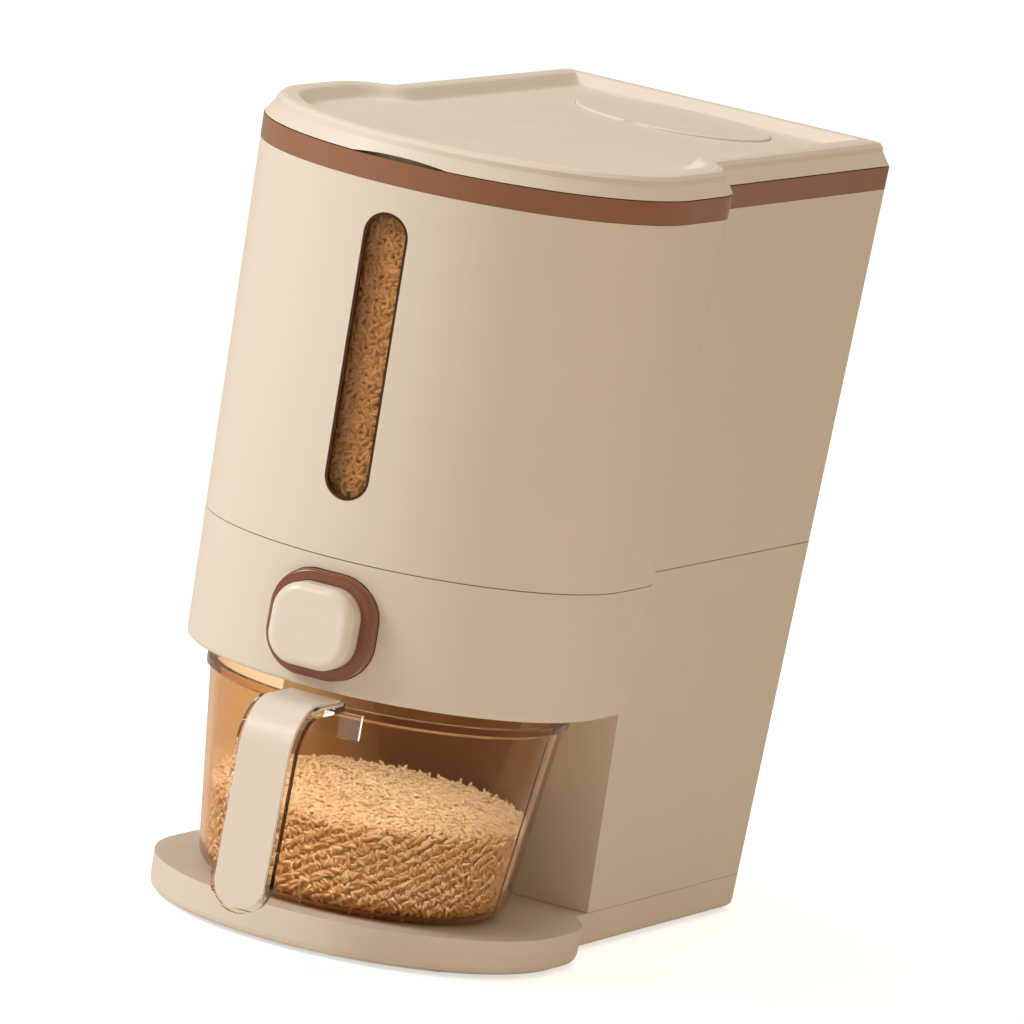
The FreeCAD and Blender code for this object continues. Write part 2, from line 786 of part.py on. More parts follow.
def make_trim_band():
    """The glossy brown band between the bin and the lid."""
    body = new_body("trim_band")
    low, high = S.band_bottom + S.seam_gap / 2, S.band_top - S.seam_gap / 2
    housing_block(body, low, high, 0)
    housing_block(body, low, high, S.wall, cut=True)
    return body


def front_slot_piece(label, half_width, inset_out, inset_in, hole_half_width=None):
    """A curved piece of slot outline that follows the lobe's front between two insets."""
    body = new_body(label)
    grow = half_width - S.window_half_width
    low, high = S.window_bottom - grow, S.window_top + grow
    lobe_block(body, low, high, inset_out)
    lobe_block(body, low, high, inset_in, cut=True)
    edge = S.lobe_half_width + S.waste
    outside = new_sketch(body, f"{label}_outside", "XZ", 0)
    draw_rectangle(outside, -edge, edge, low - S.waste, high + S.waste)
    draw_slot(outside, 0, low, high, half_width)
    pocket(body, outside, right_through() * 2, both_ways=True)
    behind = new_sketch(body, f"{label}_behind", "XZ", lobe_middle(S.lid_top))
    draw_rectangle(behind, -edge, edge, low - S.waste, high + S.waste)
    pocket(body, behind, right_through())
    if hole_half_width is not None:
        grow_in = hole_half_width - S.window_half_width
        hole = new_sketch(body, f"{label}_hole", "XZ", 0)
        draw_slot(hole, 0, S.window_bottom - grow_in, S.window_top + grow_in, hole_half_width)
        pocket(body, hole, right_through() * 2, both_ways=True)
    return body


def make_window_bezel():
    return front_slot_piece("window_bezel", S.window_half_width + S.bezel_width, S.bezel_sink, S.wall,
                            S.window_half_width)


def make_window_lens():
    """Amber see-through strip behind the slot."""
    behind_wall = S.wall + S.fit_gap
    return front_slot_piece("window_lens", S.window_half_width + S.lens_lap, behind_wall,
                            behind_wall + S.lens_wall)


# ---------------------------------------------------------------- hopper, chute and gate

def draw_mouth(sketch, side_run=0, front_run=0, rear_run=0):
    """A rectangle about the outlet, as large as the mouth or run out on its sides."""
    half = S.mouth_half_width + side_run
    front = S.outlet_y + S.mouth_half_depth + front_run
    rear = S.mouth_half_depth - S.outlet_y + rear_run
    draw_rectangle(sketch, -half, half, -front, rear)


def hopper_pyramid(body, low, cut=False):
    bottom = new_sketch(body, f"{body.Label}_pyramid_low", "XY", low)
    draw_mouth(bottom)
    top = new_sketch(body, f"{body.Label}_pyramid_high", "XY", low + S.hopper_rise)
    draw_mouth(top, S.hopper_side_run, S.hopper_front_run, S.hopper_rear_run)
    return loft(body, bottom, top, cut)


def make_hopper():
    """Four sloping walls that lead the rice to the outlet, trimmed to the bin's inside."""
    slopes = new_body("hopper_slopes")
    hopper_pyramid(slopes, S.mouth_level - S.hopper_wall)
    hopper_pyramid(slopes, S.mouth_level, cut=True)
    mouth = new_sketch(slopes, "hopper_mouth", "XY", S.mouth_level)
    draw_mouth(mouth)
    pocket(slopes, mouth, S.hopper_wall * 2, both_ways=True)
    inside = new_body("hopper_inside")
    low = S.mouth_level - S.hopper_wall
    ring_top = S.seam_level + S.spigot_rise + S.seam_gap
    housing_block(inside, low, ring_top, neck_hollow() + S.fit_gap)
    housing_block(inside, ring_top, S.mouth_level + S.hopper_rise + S.waste, S.wall + S.fit_gap)
    lens_room = new_sketch(inside, "hopper_lens_room", "XZ", front_at(S.lid_top))
    lens_half = S.window_half_width + S.lens_lap + S.fit_gap
    lens_back = S.front_reach - front_at(S.seam_level) + S.wall + S.lens_wall + S.fit_gap * 3
    draw_rectangle(lens_room, -lens_half, lens_half, low, S.window_top)
    pocket(inside, lens_room, lens_back)
    hopper = doc.addObject("Part::Common", "hopper")
    hopper.Label = "hopper"
    hopper.Base, hopper.Tool = slopes, inside
    return hopper


def shaft_level():
    """Height of the gate's pins above the surface that the object stands on."""
    return S.overhang_level + S.floor_wall + S.gate_floor_gap + S.gate_wall + S.gate_radius


def make_chute():
    """Short square pipe under the hopper; its lower end is cut round to match the gate."""
    body = new_body("chute", 0, -S.outlet_y, shaft_level())
    half_w, half_d = S.mouth_half_width + S.chute_wall, S.mouth_half_depth + S.chute_wall
    top = S.mouth_level - S.hopper_wall - S.fit_gap - shaft_level()
    low = -(S.gate_radius - S.gate_gap)
    tube = new_sketch(body, "chute_tube", "XY", low)
    draw_rectangle(tube, -half_w, half_w, -half_d, half_d)
    pad(body, tube, top - low)
    bracket = new_sketch(body, "chute_bracket", "YZ", 0)
    floor = S.overhang_level + S.floor_wall - shaft_level()
    root, lip, heel = -half_d + S.root_overlap, -half_d - S.bracket_lip, -half_d - S.bracket_heel
    web_low = -S.gate_radius + S.bracket_web
    draw_polygon(bracket, [(root, -S.bracket_drop), (root, web_low), (lip, web_low - S.chute_wall),
                           (lip, floor), (heel, floor), (heel, floor + S.chute_wall)])
    pad(body, bracket, S.bracket_half_width * 2, both_ways=True)
    gap = new_sketch(body, "chute_bracket_gap", "YZ", 0)
    draw_rectangle(gap, heel, -half_d, floor + S.chute_wall, 0)
    pocket(body, gap, (S.bracket_half_width - S.chute_wall) * 2, both_ways=True)
    bore = new_sketch(body, "chute_bore", "XY", top)
    draw_rectangle(bore, -S.mouth_half_width, S.mouth_half_width, -S.mouth_half_depth, S.mouth_half_depth)
    pocket(body, bore, top - low)
    below = new_sketch(body, "chute_round_end", "YZ", 0)
    draw_below_arc(below, half_d, S.gate_radius - S.gate_gap, S.gate_radius + S.gate_wall)
    pocket(body, below, half_w * 2, both_ways=True)
    holes = new_sketch(body, "chute_pin_holes", "YZ", 0)
    draw_circle(holes, 0, 0, S.gate_pin_radius + S.running_gap)
    pocket(body, holes, half_w * 2, both_ways=True)
    seat = new_sketch(body, "chute_spring_seat", "XZ", half_d)
    draw_circle(seat, 0, S.button_level - shaft_level(), S.spring_radius - S.spring_wire - S.fit_gap)
    pad(body, seat, S.yoke_wall)
    return body


def draw_below_arc(sketch, half_width, radius, depth):
    """The area between an arc about the sketch's origin and a level line under it."""
    reach = math.sqrt(radius.number ** 2 - half_width.number ** 2)
    slant = math.atan2(-reach, half_width.number)
    arc = add_arc(sketch, (0, 0), radius, -math.pi - slant, slant)
    right = sketch.addGeometry(Part.LineSegment(FreeCAD.Vector(half_width.number, -reach, 0),
                                                vector(half_width, -depth)), False)
    bottom = add_line(sketch, (half_width, -depth), (-half_width, -depth))
    left = sketch.addGeometry(Part.LineSegment(vector(-half_width, -depth),
                                               FreeCAD.Vector(-half_width.number, -reach, 0)), False)
    ring = [arc, right, bottom, left]
    for first, second in zip(ring, ring[1:] + ring[:1]):
        join_corner(sketch, first, second)
    sketch.addConstraint(Sketcher.Constraint("Vertical", right))
    sketch.addConstraint(Sketcher.Constraint("Vertical", left))
    sketch.addConstraint(Sketcher.Constraint("Coincident", arc, MIDDLE, -1, 1))
    limit(sketch, "Radius", arc, radius)
    place_point(sketch, bottom, START, half_width, -depth)
    place_point(sketch, bottom, END, -half_width, -depth)


def gate_inner():
    """From the middle plane to the inner faces of the gate's side plates."""
    return S.mouth_half_width + S.chute_wall + S.gate_gap


def gate_outer():
    return gate_inner() + S.gate_wall


def make_gate_pins():
    """Two headed steel pins that the gate swings on, one in each side of the chute."""
    body = new_body("gate_pins", 0, -S.outlet_y, shaft_level())
    body.AllowCompound = True
    inner, outer = S.mouth_half_width + S.running_gap, gate_outer() + S.gate_gap
    for side, turned in ((1, False), (-1, True)):
        shank = new_sketch(body, "gate_pins_shank", "YZ", side * inner)
        draw_circle(shank, 0, 0, S.gate_pin_radius)
        pad(body, shank, outer - inner, back=turned)
        head = new_sketch(body, "gate_pins_head", "YZ", side * outer)
        draw_circle(head, 0, 0, S.gate_pin_head)
        pad(body, head, S.chute_wall, back=turned)
    return body


def draw_sector(sketch, radius, half_angle, inner):
    """A fan below the sketch's origin, from a short level top to an arc."""
    low = radius * cosine(half_angle)
    side = radius * sine(half_angle)
    start = -math.pi / 2 - math.radians(half_angle.number)
    arc = add_arc(sketch, (0, 0), radius, start, start + 2 * math.radians(half_angle.number))
    right = add_line(sketch, (side, -low), (inner, 0))
    top = add_line(sketch, (inner, 0), (-inner, 0))
    left = add_line(sketch, (-inner, 0), (-side, -low))
    ring = [arc, right, top, left]
    for first, second in zip(ring, ring[1:] + ring[:1]):
        join_corner(sketch, first, second)
    sketch.addConstraint(Sketcher.Constraint("Coincident", arc, MIDDLE, -1, 1))
    place_point(sketch, right, START, side, -low)
    place_point(sketch, left, END, -side, None)
    place_point(sketch, top, START, inner, 0)
    place_point(sketch, top, END, -inner, 0)


def lever_pin():
    """The lever pin's place about the gate's axis, with the gate shut, as (y, z)."""
    return -S.lever_reach * sine(S.gate_half_angle), -S.lever_reach * cosine(S.gate_half_angle)


def make_gate():
    """Radial gate: a curved shutter between two side plates, with a lever pin on each."""
    body = new_body("gate", 0, -S.outlet_y, shaft_level())
    inner, outer = gate_inner(), gate_outer()
    fan = new_sketch(body, "gate_fan", "YZ", 0)
    draw_sector(fan, S.gate_radius + S.gate_wall, S.gate_half_angle, S.gate_hub_radius)
    pad(body, fan, outer * 2, both_ways=True)
    pin_y, pin_z = lever_pin()
    boss = new_sketch(body, "gate_boss", "YZ", 0)
    draw_circle(boss, pin_y, pin_z, S.lever_boss_radius)
    pad(body, boss, outer * 2, both_ways=True)
    hub = new_sketch(body, "gate_hub", "YZ", 0)
    draw_circle(hub, 0, 0, S.gate_hub_radius)
    pad(body, hub, outer * 2, both_ways=True)
    pins = new_sketch(body, "gate_lever_pins", "YZ", 0)
    draw_circle(pins, pin_y, pin_z, S.lever_pin_radius)
    pad(body, pins, (outer + S.lever_pin_length) * 2, both_ways=True)
    room = new_sketch(body, "gate_room", "YZ", 0)
    draw_circle(room, 0, 0, S.gate_radius)
    pocket(body, room, inner * 2, both_ways=True)
    bore = new_sketch(body, "gate_bore", "YZ", 0)
    draw_circle(bore, 0, 0, S.gate_pin_radius + S.running_gap)
    pocket(body, bore, outer * 2, both_ways=True)
    return body


# ---------------------------------------------------------------- button

def draw_button(sketch, grow):
    """The button's soft square outline, grown or shrunk all round."""
    half_w, half_h = S.button_half_width + grow, S.button_half_height + grow
    draw_round_rectangle(sketch, half_w, S.button_level - half_h, S.button_level + half_h,
                         S.button_corner + grow)


def make_button_surround():
    """Glossy brown collar around the button, set through the housing's wall."""
    body = new_body("button_surround")
    sleeve = new_sketch(body, "button_surround_sleeve", "XZ", S.surround_face)
    draw_button(sleeve, S.surround_rim)
    pad(body, sleeve, S.surround_depth, back=True)
    round_edges(body, S.surround_round, lambda edge: deep_edge(edge, S.surround_face))
    bore = new_sketch(body, "button_surround_bore", "XZ", S.surround_face)
    draw_button(bore, S.fit_gap)
    pocket(body, bore, S.surround_depth)
    return body


def make_button_cap():
    """Cream push cap: a hollow soft square with a socket for the yoke's boss."""
    body = new_body("button_cap")
    face = new_sketch(body, "button_cap_face", "XZ", S.button_face)
    draw_button(face, 0)
    pad(body, face, S.button_depth, back=True)
    round_edges(body, S.button_round, lambda edge: deep_edge(edge, S.button_face))
    hollow = new_sketch(body, "button_cap_hollow", "XZ", S.button_face - S.button_depth)
    draw_button(hollow, -S.button_wall)
    pocket(body, hollow, S.button_depth - S.button_face_wall, back=True)
    socket = new_sketch(body, "button_cap_socket", "XZ", S.button_face - S.button_face_wall + S.root_overlap)
    draw_circle(socket, 0, S.button_level, S.yoke_boss_radius + S.button_wall)
    draw_circle(socket, 0, S.button_level, S.yoke_boss_radius + S.running_gap)
    pad(body, socket, S.button_depth - S.button_face_wall + S.root_overlap, back=True)
    return body


def make_push_yoke():
    """Moulded fork: its boss sits in the cap and its two arms pass the chute to the lever pins."""
    body = new_body("push_yoke")
    inner = gate_outer() + S.gate_gap * 2
    outer = inner + S.yoke_arm_wall
    pin_y, pin_z = lever_pin()
    arm_end = -S.outlet_y + pin_y + S.yoke_arm_end
    back_of_bar = -S.yoke_front + S.yoke_wall
    fork = new_sketch(body, "push_yoke_fork", "XY", S.button_level - S.yoke_half_height)
    draw_polygon(fork, [(-outer, -S.yoke_front), (outer, -S.yoke_front), (outer, arm_end), (inner, arm_end),
                        (inner, back_of_bar), (-inner, back_of_bar), (-inner, arm_end), (-outer, arm_end)])
    pad(body, fork, S.yoke_half_height * 2)
    boss = new_sketch(body, "push_yoke_boss", "XZ", S.yoke_front)
    draw_circle(boss, 0, S.button_level, S.yoke_boss_radius)
    pad(body, boss, S.button_face - S.button_face_wall - S.fit_gap - S.yoke_front)
    seat = new_sketch(body, "push_yoke_seat", "XZ", S.yoke_front - S.yoke_wall)
    draw_circle(seat, 0, S.button_level, S.spring_radius - S.spring_wire - S.fit_gap)
    pad(body, seat, S.yoke_wall, back=True)
    slots = new_sketch(body, "push_yoke_slots", "YZ", 0)
    half_y = S.lever_pin_radius + S.fit_gap
    highest = shaft_level() + pin_z
    lowest = shaft_level() - S.lever_reach
    draw_rectangle(slots, -S.outlet_y + pin_y - half_y, -S.outlet_y + pin_y + half_y,
                   lowest - half_y, highest + half_y)
    pocket(body, slots, outer * 2, both_ways=True)
    return body


def make_return_spring():
    """Compression spring between the chute and the yoke, its axis along Y."""
    body = new_body("return_spring", 0, -S.yoke_front + S.yoke_wall + S.spring_wire + S.running_gap, S.button_level)
    wire = new_sketch(body, "return_spring_wire", "YZ", 0)
    draw_circle(wire, 0, S.spring_radius, S.spring_wire)
    coil = body.newObject("PartDesign::AdditiveHelix", "return_spring_coil")
    coil.Profile = wire
    coil.ReferenceAxis = (wire, ["H_Axis"])
    coil.Mode = "height-turns-angle"
    run = S.yoke_front - S.yoke_wall - S.outlet_y - S.mouth_half_depth - S.chute_wall
    bind(coil, "Height", run - (S.spring_wire + S.running_gap) * 2)
    bind(coil, "Turns", S.spring_turns)
    return body


# ---------------------------------------------------------------- lid

def make_lid_cover():
    """Lid with sloping sides, a soft raised rim and a sunk pan."""
    body = new_body("lid_cover")
    low = S.band_top + S.seam_gap / 2
    stack(body, [(low, S.fit_gap)] + round_shoulder(S.lid_top, S.lid_round, S.lid_top_inset))
    stack(body, soft_slope(S.pan_level, S.lid_top, S.pan_inset + S.pan_slope, S.pan_inset), cut=True)
    housing_block(body, low, S.pan_level - S.lid_wall, S.lid_side_wall, S.lid_side_wall, cut=True)
    well = new_sketch(body, "lid_cover_well", "XY", S.pan_level - S.cap_sink)
    draw_circle(well, 0, S.cap_y, S.cap_radius + S.fit_gap)
    pocket(body, well, S.lid_top - S.pan_level + S.cap_sink, back=True)
    hole = new_sketch(body, "lid_cover_hole", "XY", S.pan_level)
    draw_circle(hole, 0, S.cap_y, spigot_radius() + S.fit_gap)
    pocket(body, hole, S.lid_wall * 2, both_ways=True)
    grip = new_sketch(body, "lid_cover_grip", "XZ", front_at(S.band_top) - S.grip_depth)
    bow = (S.grip_half_width * S.grip_half_width / S.grip_height + S.grip_height) / 2
    draw_circle(grip, 0, low + S.grip_height - bow, bow)
    pocket(body, grip, S.grip_depth * 2, back=True)
    arms = new_sketch(body, "lid_cover_arms", "YZ", S.hinge_side - S.hinge_knuckle / 2)
    rear = rear_at(low) - S.lid_side_wall / 2
    draw_rectangle(arms, rear, hinge_y(), low, low + S.hinge_radius)
    right = pad(body, arms, S.hinge_knuckle)
    knuckle = new_sketch(body, "lid_cover_knuckle", "YZ", S.hinge_side - S.hinge_knuckle / 2)
    draw_circle(knuckle, hinge_y(), hinge_z(), S.hinge_radius)
    round_part = pad(body, knuckle, S.hinge_knuckle)
    bore = new_sketch(body, "lid_cover_bore", "YZ", 0)
    draw_circle(bore, hinge_y(), hinge_z(), S.hinge_pin_radius + S.running_gap)
    drilled = pocket(body, bore, S.hinge_side * 2 + S.hinge_knuckle * 2, both_ways=True)
    mirror(body, [right, round_part, drilled])
    return body


def hinge_y():
    return rear_at(S.band_top) + S.hinge_behind


def hinge_z():
    return S.band_top + S.seam_gap / 2


def spigot_radius():
    """Outer radius of the ring under the repellent cap."""
    return S.basket_radius + S.fit_gap + S.basket_wall


def make_lid_liner():
    """Plate and rim under the lid that enter the bin's neck."""
    body = new_body("lid_liner")
    plate_top = S.pan_level - S.lid_wall - S.running_gap
    plate_low = plate_top - S.basket_wall
    low = S.band_top - S.liner_drop
    rim = neck_hollow() + S.seal_wall
    housing_block(body, low, plate_low, rim)
    housing_block(body, plate_low, plate_top, neck_hollow())
    housing_block(body, low, plate_low, rim + S.liner_wall, cut=True)
    hole = new_sketch(body, "lid_liner_hole", "XY", plate_top)
    draw_circle(hole, 0, S.cap_y, spigot_radius() + S.fit_gap * 2)
    pocket(body, hole, S.basket_wall * 2, both_ways=True)
    return body


def make_lid_seal():
    """Silicone ring around the liner's rim."""
    body = new_body("lid_seal")
    high = S.band_top - S.seam_gap * 2
    low = high - S.seal_height
    housing_block(body, low, high, neck_hollow() + S.fit_gap)
    housing_block(body, low, high, neck_hollow() + S.seal_wall, cut=True)
    return body


def hinge_span():
    """Width of one bracket, over both of its ears."""
    return S.hinge_knuckle + S.fit_gap * 2 + S.hinge_ear * 2


def make_hinge_brackets():
    """Two brackets on the rear wall, each with a pair of ears for the lid's knuckle."""
    body = new_body("hinge_brackets")
    body.AllowCompound = True
    span = hinge_span()
    plate_top = S.band_bottom - S.fit_gap
    plate_low = plate_top - S.hinge_plate_height
    face = rear_at(plate_top) + S.running_gap
    side = new_sketch(body, "hinge_brackets_side", "YZ", S.hinge_side - span / 2)
    draw_polygon(side, [(face, plate_low), (face + S.hinge_plate, plate_low),
                        (hinge_y() + S.hinge_radius, plate_top), (hinge_y() + S.hinge_radius, hinge_z()),
                        (hinge_y() - S.hinge_radius, hinge_z()), (hinge_y() - S.hinge_radius, plate_top),
                        (face, plate_top)])
    block = pad(body, side, span)
    eye = new_sketch(body, "hinge_brackets_eye", "YZ", S.hinge_side - span / 2)
    draw_circle(eye, hinge_y(), hinge_z(), S.hinge_radius)
    eyes = pad(body, eye, span)
    room = new_sketch(body, "hinge_brackets_room", "YZ", S.hinge_side - S.hinge_knuckle / 2 - S.fit_gap)
    draw_rectangle(room, hinge_y() - S.hinge_radius - S.waste, hinge_y() + S.hinge_radius + S.waste,
                   hinge_z() - S.hinge_room_drop, hinge_z() + S.hinge_radius + S.waste)
    gap = pocket(body, room, S.hinge_knuckle + S.fit_gap * 2, back=True)
    bore = new_sketch(body, "hinge_brackets_bore", "YZ", 0)
    draw_circle(bore, hinge_y(), hinge_z(), S.hinge_pin_radius + S.running_gap)
    drilled = pocket(body, bore, (S.hinge_side + span) * 2, both_ways=True)
    mirror(body, [block, eyes, gap, drilled])
    return body


def make_hinge_pins():
    body = new_body("hinge_pins")
    body.AllowCompound = True
    span = hinge_span()
    sketch = new_sketch(body, "hinge_pins_section", "YZ", S.hinge_side - span / 2)
    draw_circle(sketch, hinge_y(), hinge_z(), S.hinge_pin_radius)
    right = pad(body, sketch, span)
    mirror(body, [right])
    return body


# ---------------------------------------------------------------- repellent box in the lid

def make_repellent_cap():
    """Round cap in the pan, with a ring below it that holds the basket."""
    body = new_body("repellent_cap", 0, S.cap_y, S.pan_level - S.cap_sink + S.running_gap)
    disc = new_sketch(body, "repellent_cap_disc", "XY", 0)
    draw_circle(disc, 0, 0, S.cap_radius)
    pad(body, disc, S.cap_wall)
    round_edges(body, S.cap_round, lambda edge: level_edge(edge, S.cap_wall))
    ring = new_sketch(body, "repellent_cap_ring", "XY", 0)
    draw_circle(ring, 0, 0, spigot_radius())
    draw_circle(ring, 0, 0, S.basket_radius + S.fit_gap)
    pad(body, ring, S.cap_ring_drop, back=True)
    notch = new_sketch(body, "repellent_cap_notch", "XY", S.cap_wall)
    draw_circle(notch, 0, -S.thumb_notch_reach, S.thumb_notch_radius)
    pocket(body, notch, S.thumb_notch_depth)
    return body


SLOTS_EACH_SIDE = 3


def make_repellent_basket():
    """Slotted cup for the insect repellent pad."""
    body = new_body("repellent_basket", 0, S.cap_y, S.pan_level - S.cap_sink - S.basket_depth)
    wall = new_sketch(body, "repellent_basket_wall", "XY", 0)
    draw_circle(wall, 0, 0, S.basket_radius)
    pad(body, wall, S.basket_depth)
    hollow = new_sketch(body, "repellent_basket_hollow", "XY", S.basket_wall)
    draw_circle(hollow, 0, 0, S.basket_radius - S.basket_wall)
    pocket(body, hollow, S.basket_depth, back=True)
    slots = new_sketch(body, "repellent_basket_slots", "XY", 0)
    for step in range(-SLOTS_EACH_SIDE, SLOTS_EACH_SIDE + 1):
        x = S.slot_pitch * step
        reach = leg(S.basket_radius, x) - S.slot_pitch
        draw_slot(slots, x, -reach, reach, S.slot_half_width)
    pocket(body, slots, S.basket_wall, back=True)
    return body


def make_repellent_pad():
    body = new_body("repellent_pad", 0, S.cap_y,
                    S.pan_level - S.cap_sink - S.basket_depth + S.basket_wall + S.running_gap)
    sketch = new_sketch(body, "repellent_pad_plan", "XY", 0)
    draw_circle(sketch, 0, 0, S.basket_radius - S.basket_wall - S.fit_gap)
    pad(body, sketch, S.pad_height)
    return body


# ---------------------------------------------------------------- cup and handle

def cup_lean():
    """How far the cup's wall leans out, per millimetre up."""
    return (S.cup_rim_radius - S.cup_foot_radius) / (S.cup_rim_level - S.base_top - S.cup_lift)


def draw_cup_profile(sketch, low):
    """Half section of the cup: flat foot, leaning wall and a bead at the rim."""
    rim, bead, wall = S.cup_rim_radius, S.cup_rim_radius + S.cup_bead, S.cup_wall
    rise = S.cup_rim_level - low
    bead_low = rise - S.cup_bead_height
    slope_low = bead_low - S.cup_bead
    draw_polygon(sketch, [
        (0, 0), (S.cup_foot_radius, 0), (rim - (rise - slope_low) * cup_lean(), slope_low), (bead, bead_low),
        (bead, rise), (rim - wall, rise), (S.cup_foot_radius - wall + wall * cup_lean(), wall), (0, wall)])


def make_cup():
    """Deep see-through cup, turned about its own upright axis."""
    low = S.base_top + S.cup_lift
    body = new_body("cup", 0, -S.cup_y, low)
    profile = new_sketch(body, "cup_profile", "XZ", 0)
    draw_cup_profile(profile, low)
    revolve(body, profile)
    round_edges(body, S.cup_edge, lambda edge: level_edge(edge, as_size(0)))
    round_edges(body, S.cup_edge - S.cup_wall, lambda edge: level_edge(edge, S.cup_wall))
    return body


def make_rice_portion():
    """Rice that lies in the cup: it follows the cup's inside and falls a little toward the front."""
    low = S.base_top + S.cup_lift + S.cup_wall + S.running_gap
    body = new_body("rice_portion", 0, -S.cup_y, low)
    rise = S.rice_level - low
    foot = S.cup_foot_radius - S.cup_wall - S.fit_gap + (S.cup_wall + S.running_gap) * cup_lean()
    profile = new_sketch(body, "rice_portion_profile", "XZ", 0)
    draw_polygon(profile, [(0, 0), (foot, 0), (foot + rise * cup_lean(), rise), (0, rise)])
    revolve(body, profile)
    round_edges(body, S.cup_edge - S.cup_wall, lambda edge: level_edge(edge, as_size(0)))
    slope = new_sketch(body, "rice_portion_slope", "YZ", 0)
    edge = S.cup_rim_radius
    draw_polygon(slope, [(edge, rise), (-edge, rise), (-edge, rise - S.rice_fall)])
    pocket(body, slope, right_through(), both_ways=True)
    return body


def draw_strip(sketch, outside, thickness, bottom, root):
    """Side view of the handle: level at the top, bent through a quarter turn, then straight down."""
    front, top = S.handle_front + outside, S.handle_top + outside
    bend = S.handle_bend + outside
    outer_top = add_line(sketch, (-root, top), (-front + bend, top))
    outer_arc = add_arc(sketch, (-front + bend, top - bend), bend, QUARTER, 2 * QUARTER)
    outer_front = add_line(sketch, (-front, top - bend), (-front, bottom))
    foot = add_line(sketch, (-front, bottom), (-front + thickness, bottom))
    inner_front = add_line(sketch, (-front + thickness, bottom), (-front + thickness, top - bend))
    inner_arc = add_arc(sketch, (-front + bend, top - bend), bend - thickness, QUARTER, 2 * QUARTER)
    inner_top = add_line(sketch, (-front + bend, top - thickness), (-root, top - thickness))
    end = add_line(sketch, (-root, top - thickness), (-root, top))
    for first, a, second, b, kind in (
            (outer_top, END, outer_arc, START, "Tangent"), (outer_arc, END, outer_front, START, "Tangent"),
            (outer_front, END, foot, START, "Coincident"), (foot, END, inner_front, START, "Coincident"),
            (inner_front, END, inner_arc, END, "Tangent"), (inner_arc, START, inner_top, START, "Tangent"),
            (inner_top, END, end, START, "Coincident"), (end, END, outer_top, START, "Coincident")):
        sketch.addConstraint(Sketcher.Constraint(kind, first, a, second, b))
    place_point(sketch, outer_arc, MIDDLE, -front + bend, top - bend)
    sketch.addConstraint(Sketcher.Constraint("Coincident", outer_arc, MIDDLE, inner_arc, MIDDLE))
    limit(sketch, "Radius", outer_arc, bend)
    limit(sketch, "Radius", inner_arc, bend - thickness)
    sketch.addConstraint(Sketcher.Constraint("Horizontal", foot))
    sketch.addConstraint(Sketcher.Constraint("Vertical", end))
    place_point(sketch, foot, START, -front, bottom)
    place_point(sketch, end, START, -root, top - thickness)


def round_free_end(body, half_width, bottom):
    """Cut the strip's lower end to a half circle as seen from the front."""
    around = new_sketch(body, f"{body.Label}_round_end", "XZ", 0)
    wide, deep = half_width + S.waste, bottom - S.waste
    middle = bottom + half_width
    arc = add_arc(around, (0, middle), half_width, math.pi, 2 * math.pi)
    right = add_line(around, (half_width, middle), (wide, middle))
    side_r = add_line(around, (wide, middle), (wide, deep))
    base = add_line(around, (wide, deep), (-wide, deep))
    side_l = add_line(around, (-wide, deep), (-wide, middle))
    left = add_line(around, (-wide, middle), (-half_width, middle))
    ring = [arc, right, side_r, base, side_l, left]
    for first, second in zip(ring, ring[1:] + ring[:1]):
        join_corner(around, first, second)
    place_point(around, arc, MIDDLE, 0, middle)
    place_point(around, arc, END, half_width, middle)
    place_point(around, arc, START, None, middle)
    place_point(around, side_r, START, wide, middle)
    place_point(around, base, START, wide, deep)
    place_point(around, base, END, -wide, deep)
    place_point(around, side_l, END, -wide, middle)
    pocket(body, around, right_through() * 2, both_ways=True)


def cut_for_rim(body):
    """Hollow the handle's root to seat on the cup's bead."""
    rim = new_sketch(body, f"{body.Label}_rim_seat", "XY", S.overhang_level)
    draw_circle(rim, 0, -S.cup_y, S.cup_rim_radius + S.cup_bead + S.running_gap)
    pocket(body, rim, S.overhang_level - S.base_top)


def strap_proud():
    """How far the strap stands out of the bracket's front."""
    return S.strap_wall - S.strap_sink + S.running_gap


def make_handle_frame():
    """Clear bracket that carries the cup, with a shallow channel for the strap and a flange at its root."""
    body = new_body("handle_frame")
    root = S.cup_y + S.cup_rim_radius - S.handle_wall
    strip = new_sketch(body, "handle_frame_strip", "YZ", 0)
    draw_strip(strip, as_size(0), S.handle_wall, S.handle_bottom, root)
    pad(body, strip, S.handle_half_width * 2, both_ways=True)
    round_free_end(body, S.handle_half_width, S.handle_bottom)
    channel = new_sketch(body, "handle_frame_channel", "YZ", 0)
    draw_strip(channel, as_size(0), S.strap_sink, S.handle_bottom + S.strap_margin - S.fit_gap, root)
    pocket(body, channel, (S.handle_half_width - S.strap_margin + S.fit_gap) * 2, both_ways=True)
    flange = new_sketch(body, "handle_frame_flange", "XY", S.handle_top - S.handle_wall + S.root_overlap)
    bind(flange, "AttachmentOffset.Base.y", -S.cup_y)
    draw_sector(flange, S.cup_rim_radius + S.cup_bead + S.flange_wall, S.flange_half_angle, S.handle_half_width)
    pad(body, flange, S.flange_drop + S.root_overlap, back=True)
    cut_for_rim(body)
    return body


def make_handle_strap():
    """Cream strap laid in the clear bracket."""
    body = new_body("handle_strap")
    root = S.cup_y + S.cup_rim_radius - S.handle_wall
    strip = new_sketch(body, "handle_strap_strip", "YZ", 0)
    bottom = S.handle_bottom + S.strap_margin
    draw_strip(strip, strap_proud(), S.strap_wall, bottom, root)
    half = S.handle_half_width - S.strap_margin
    pad(body, strip, half * 2, both_ways=True)
    round_free_end(body, half, bottom)
    cut_for_rim(body)
    return body


# ---------------------------------------------------------------- build and write

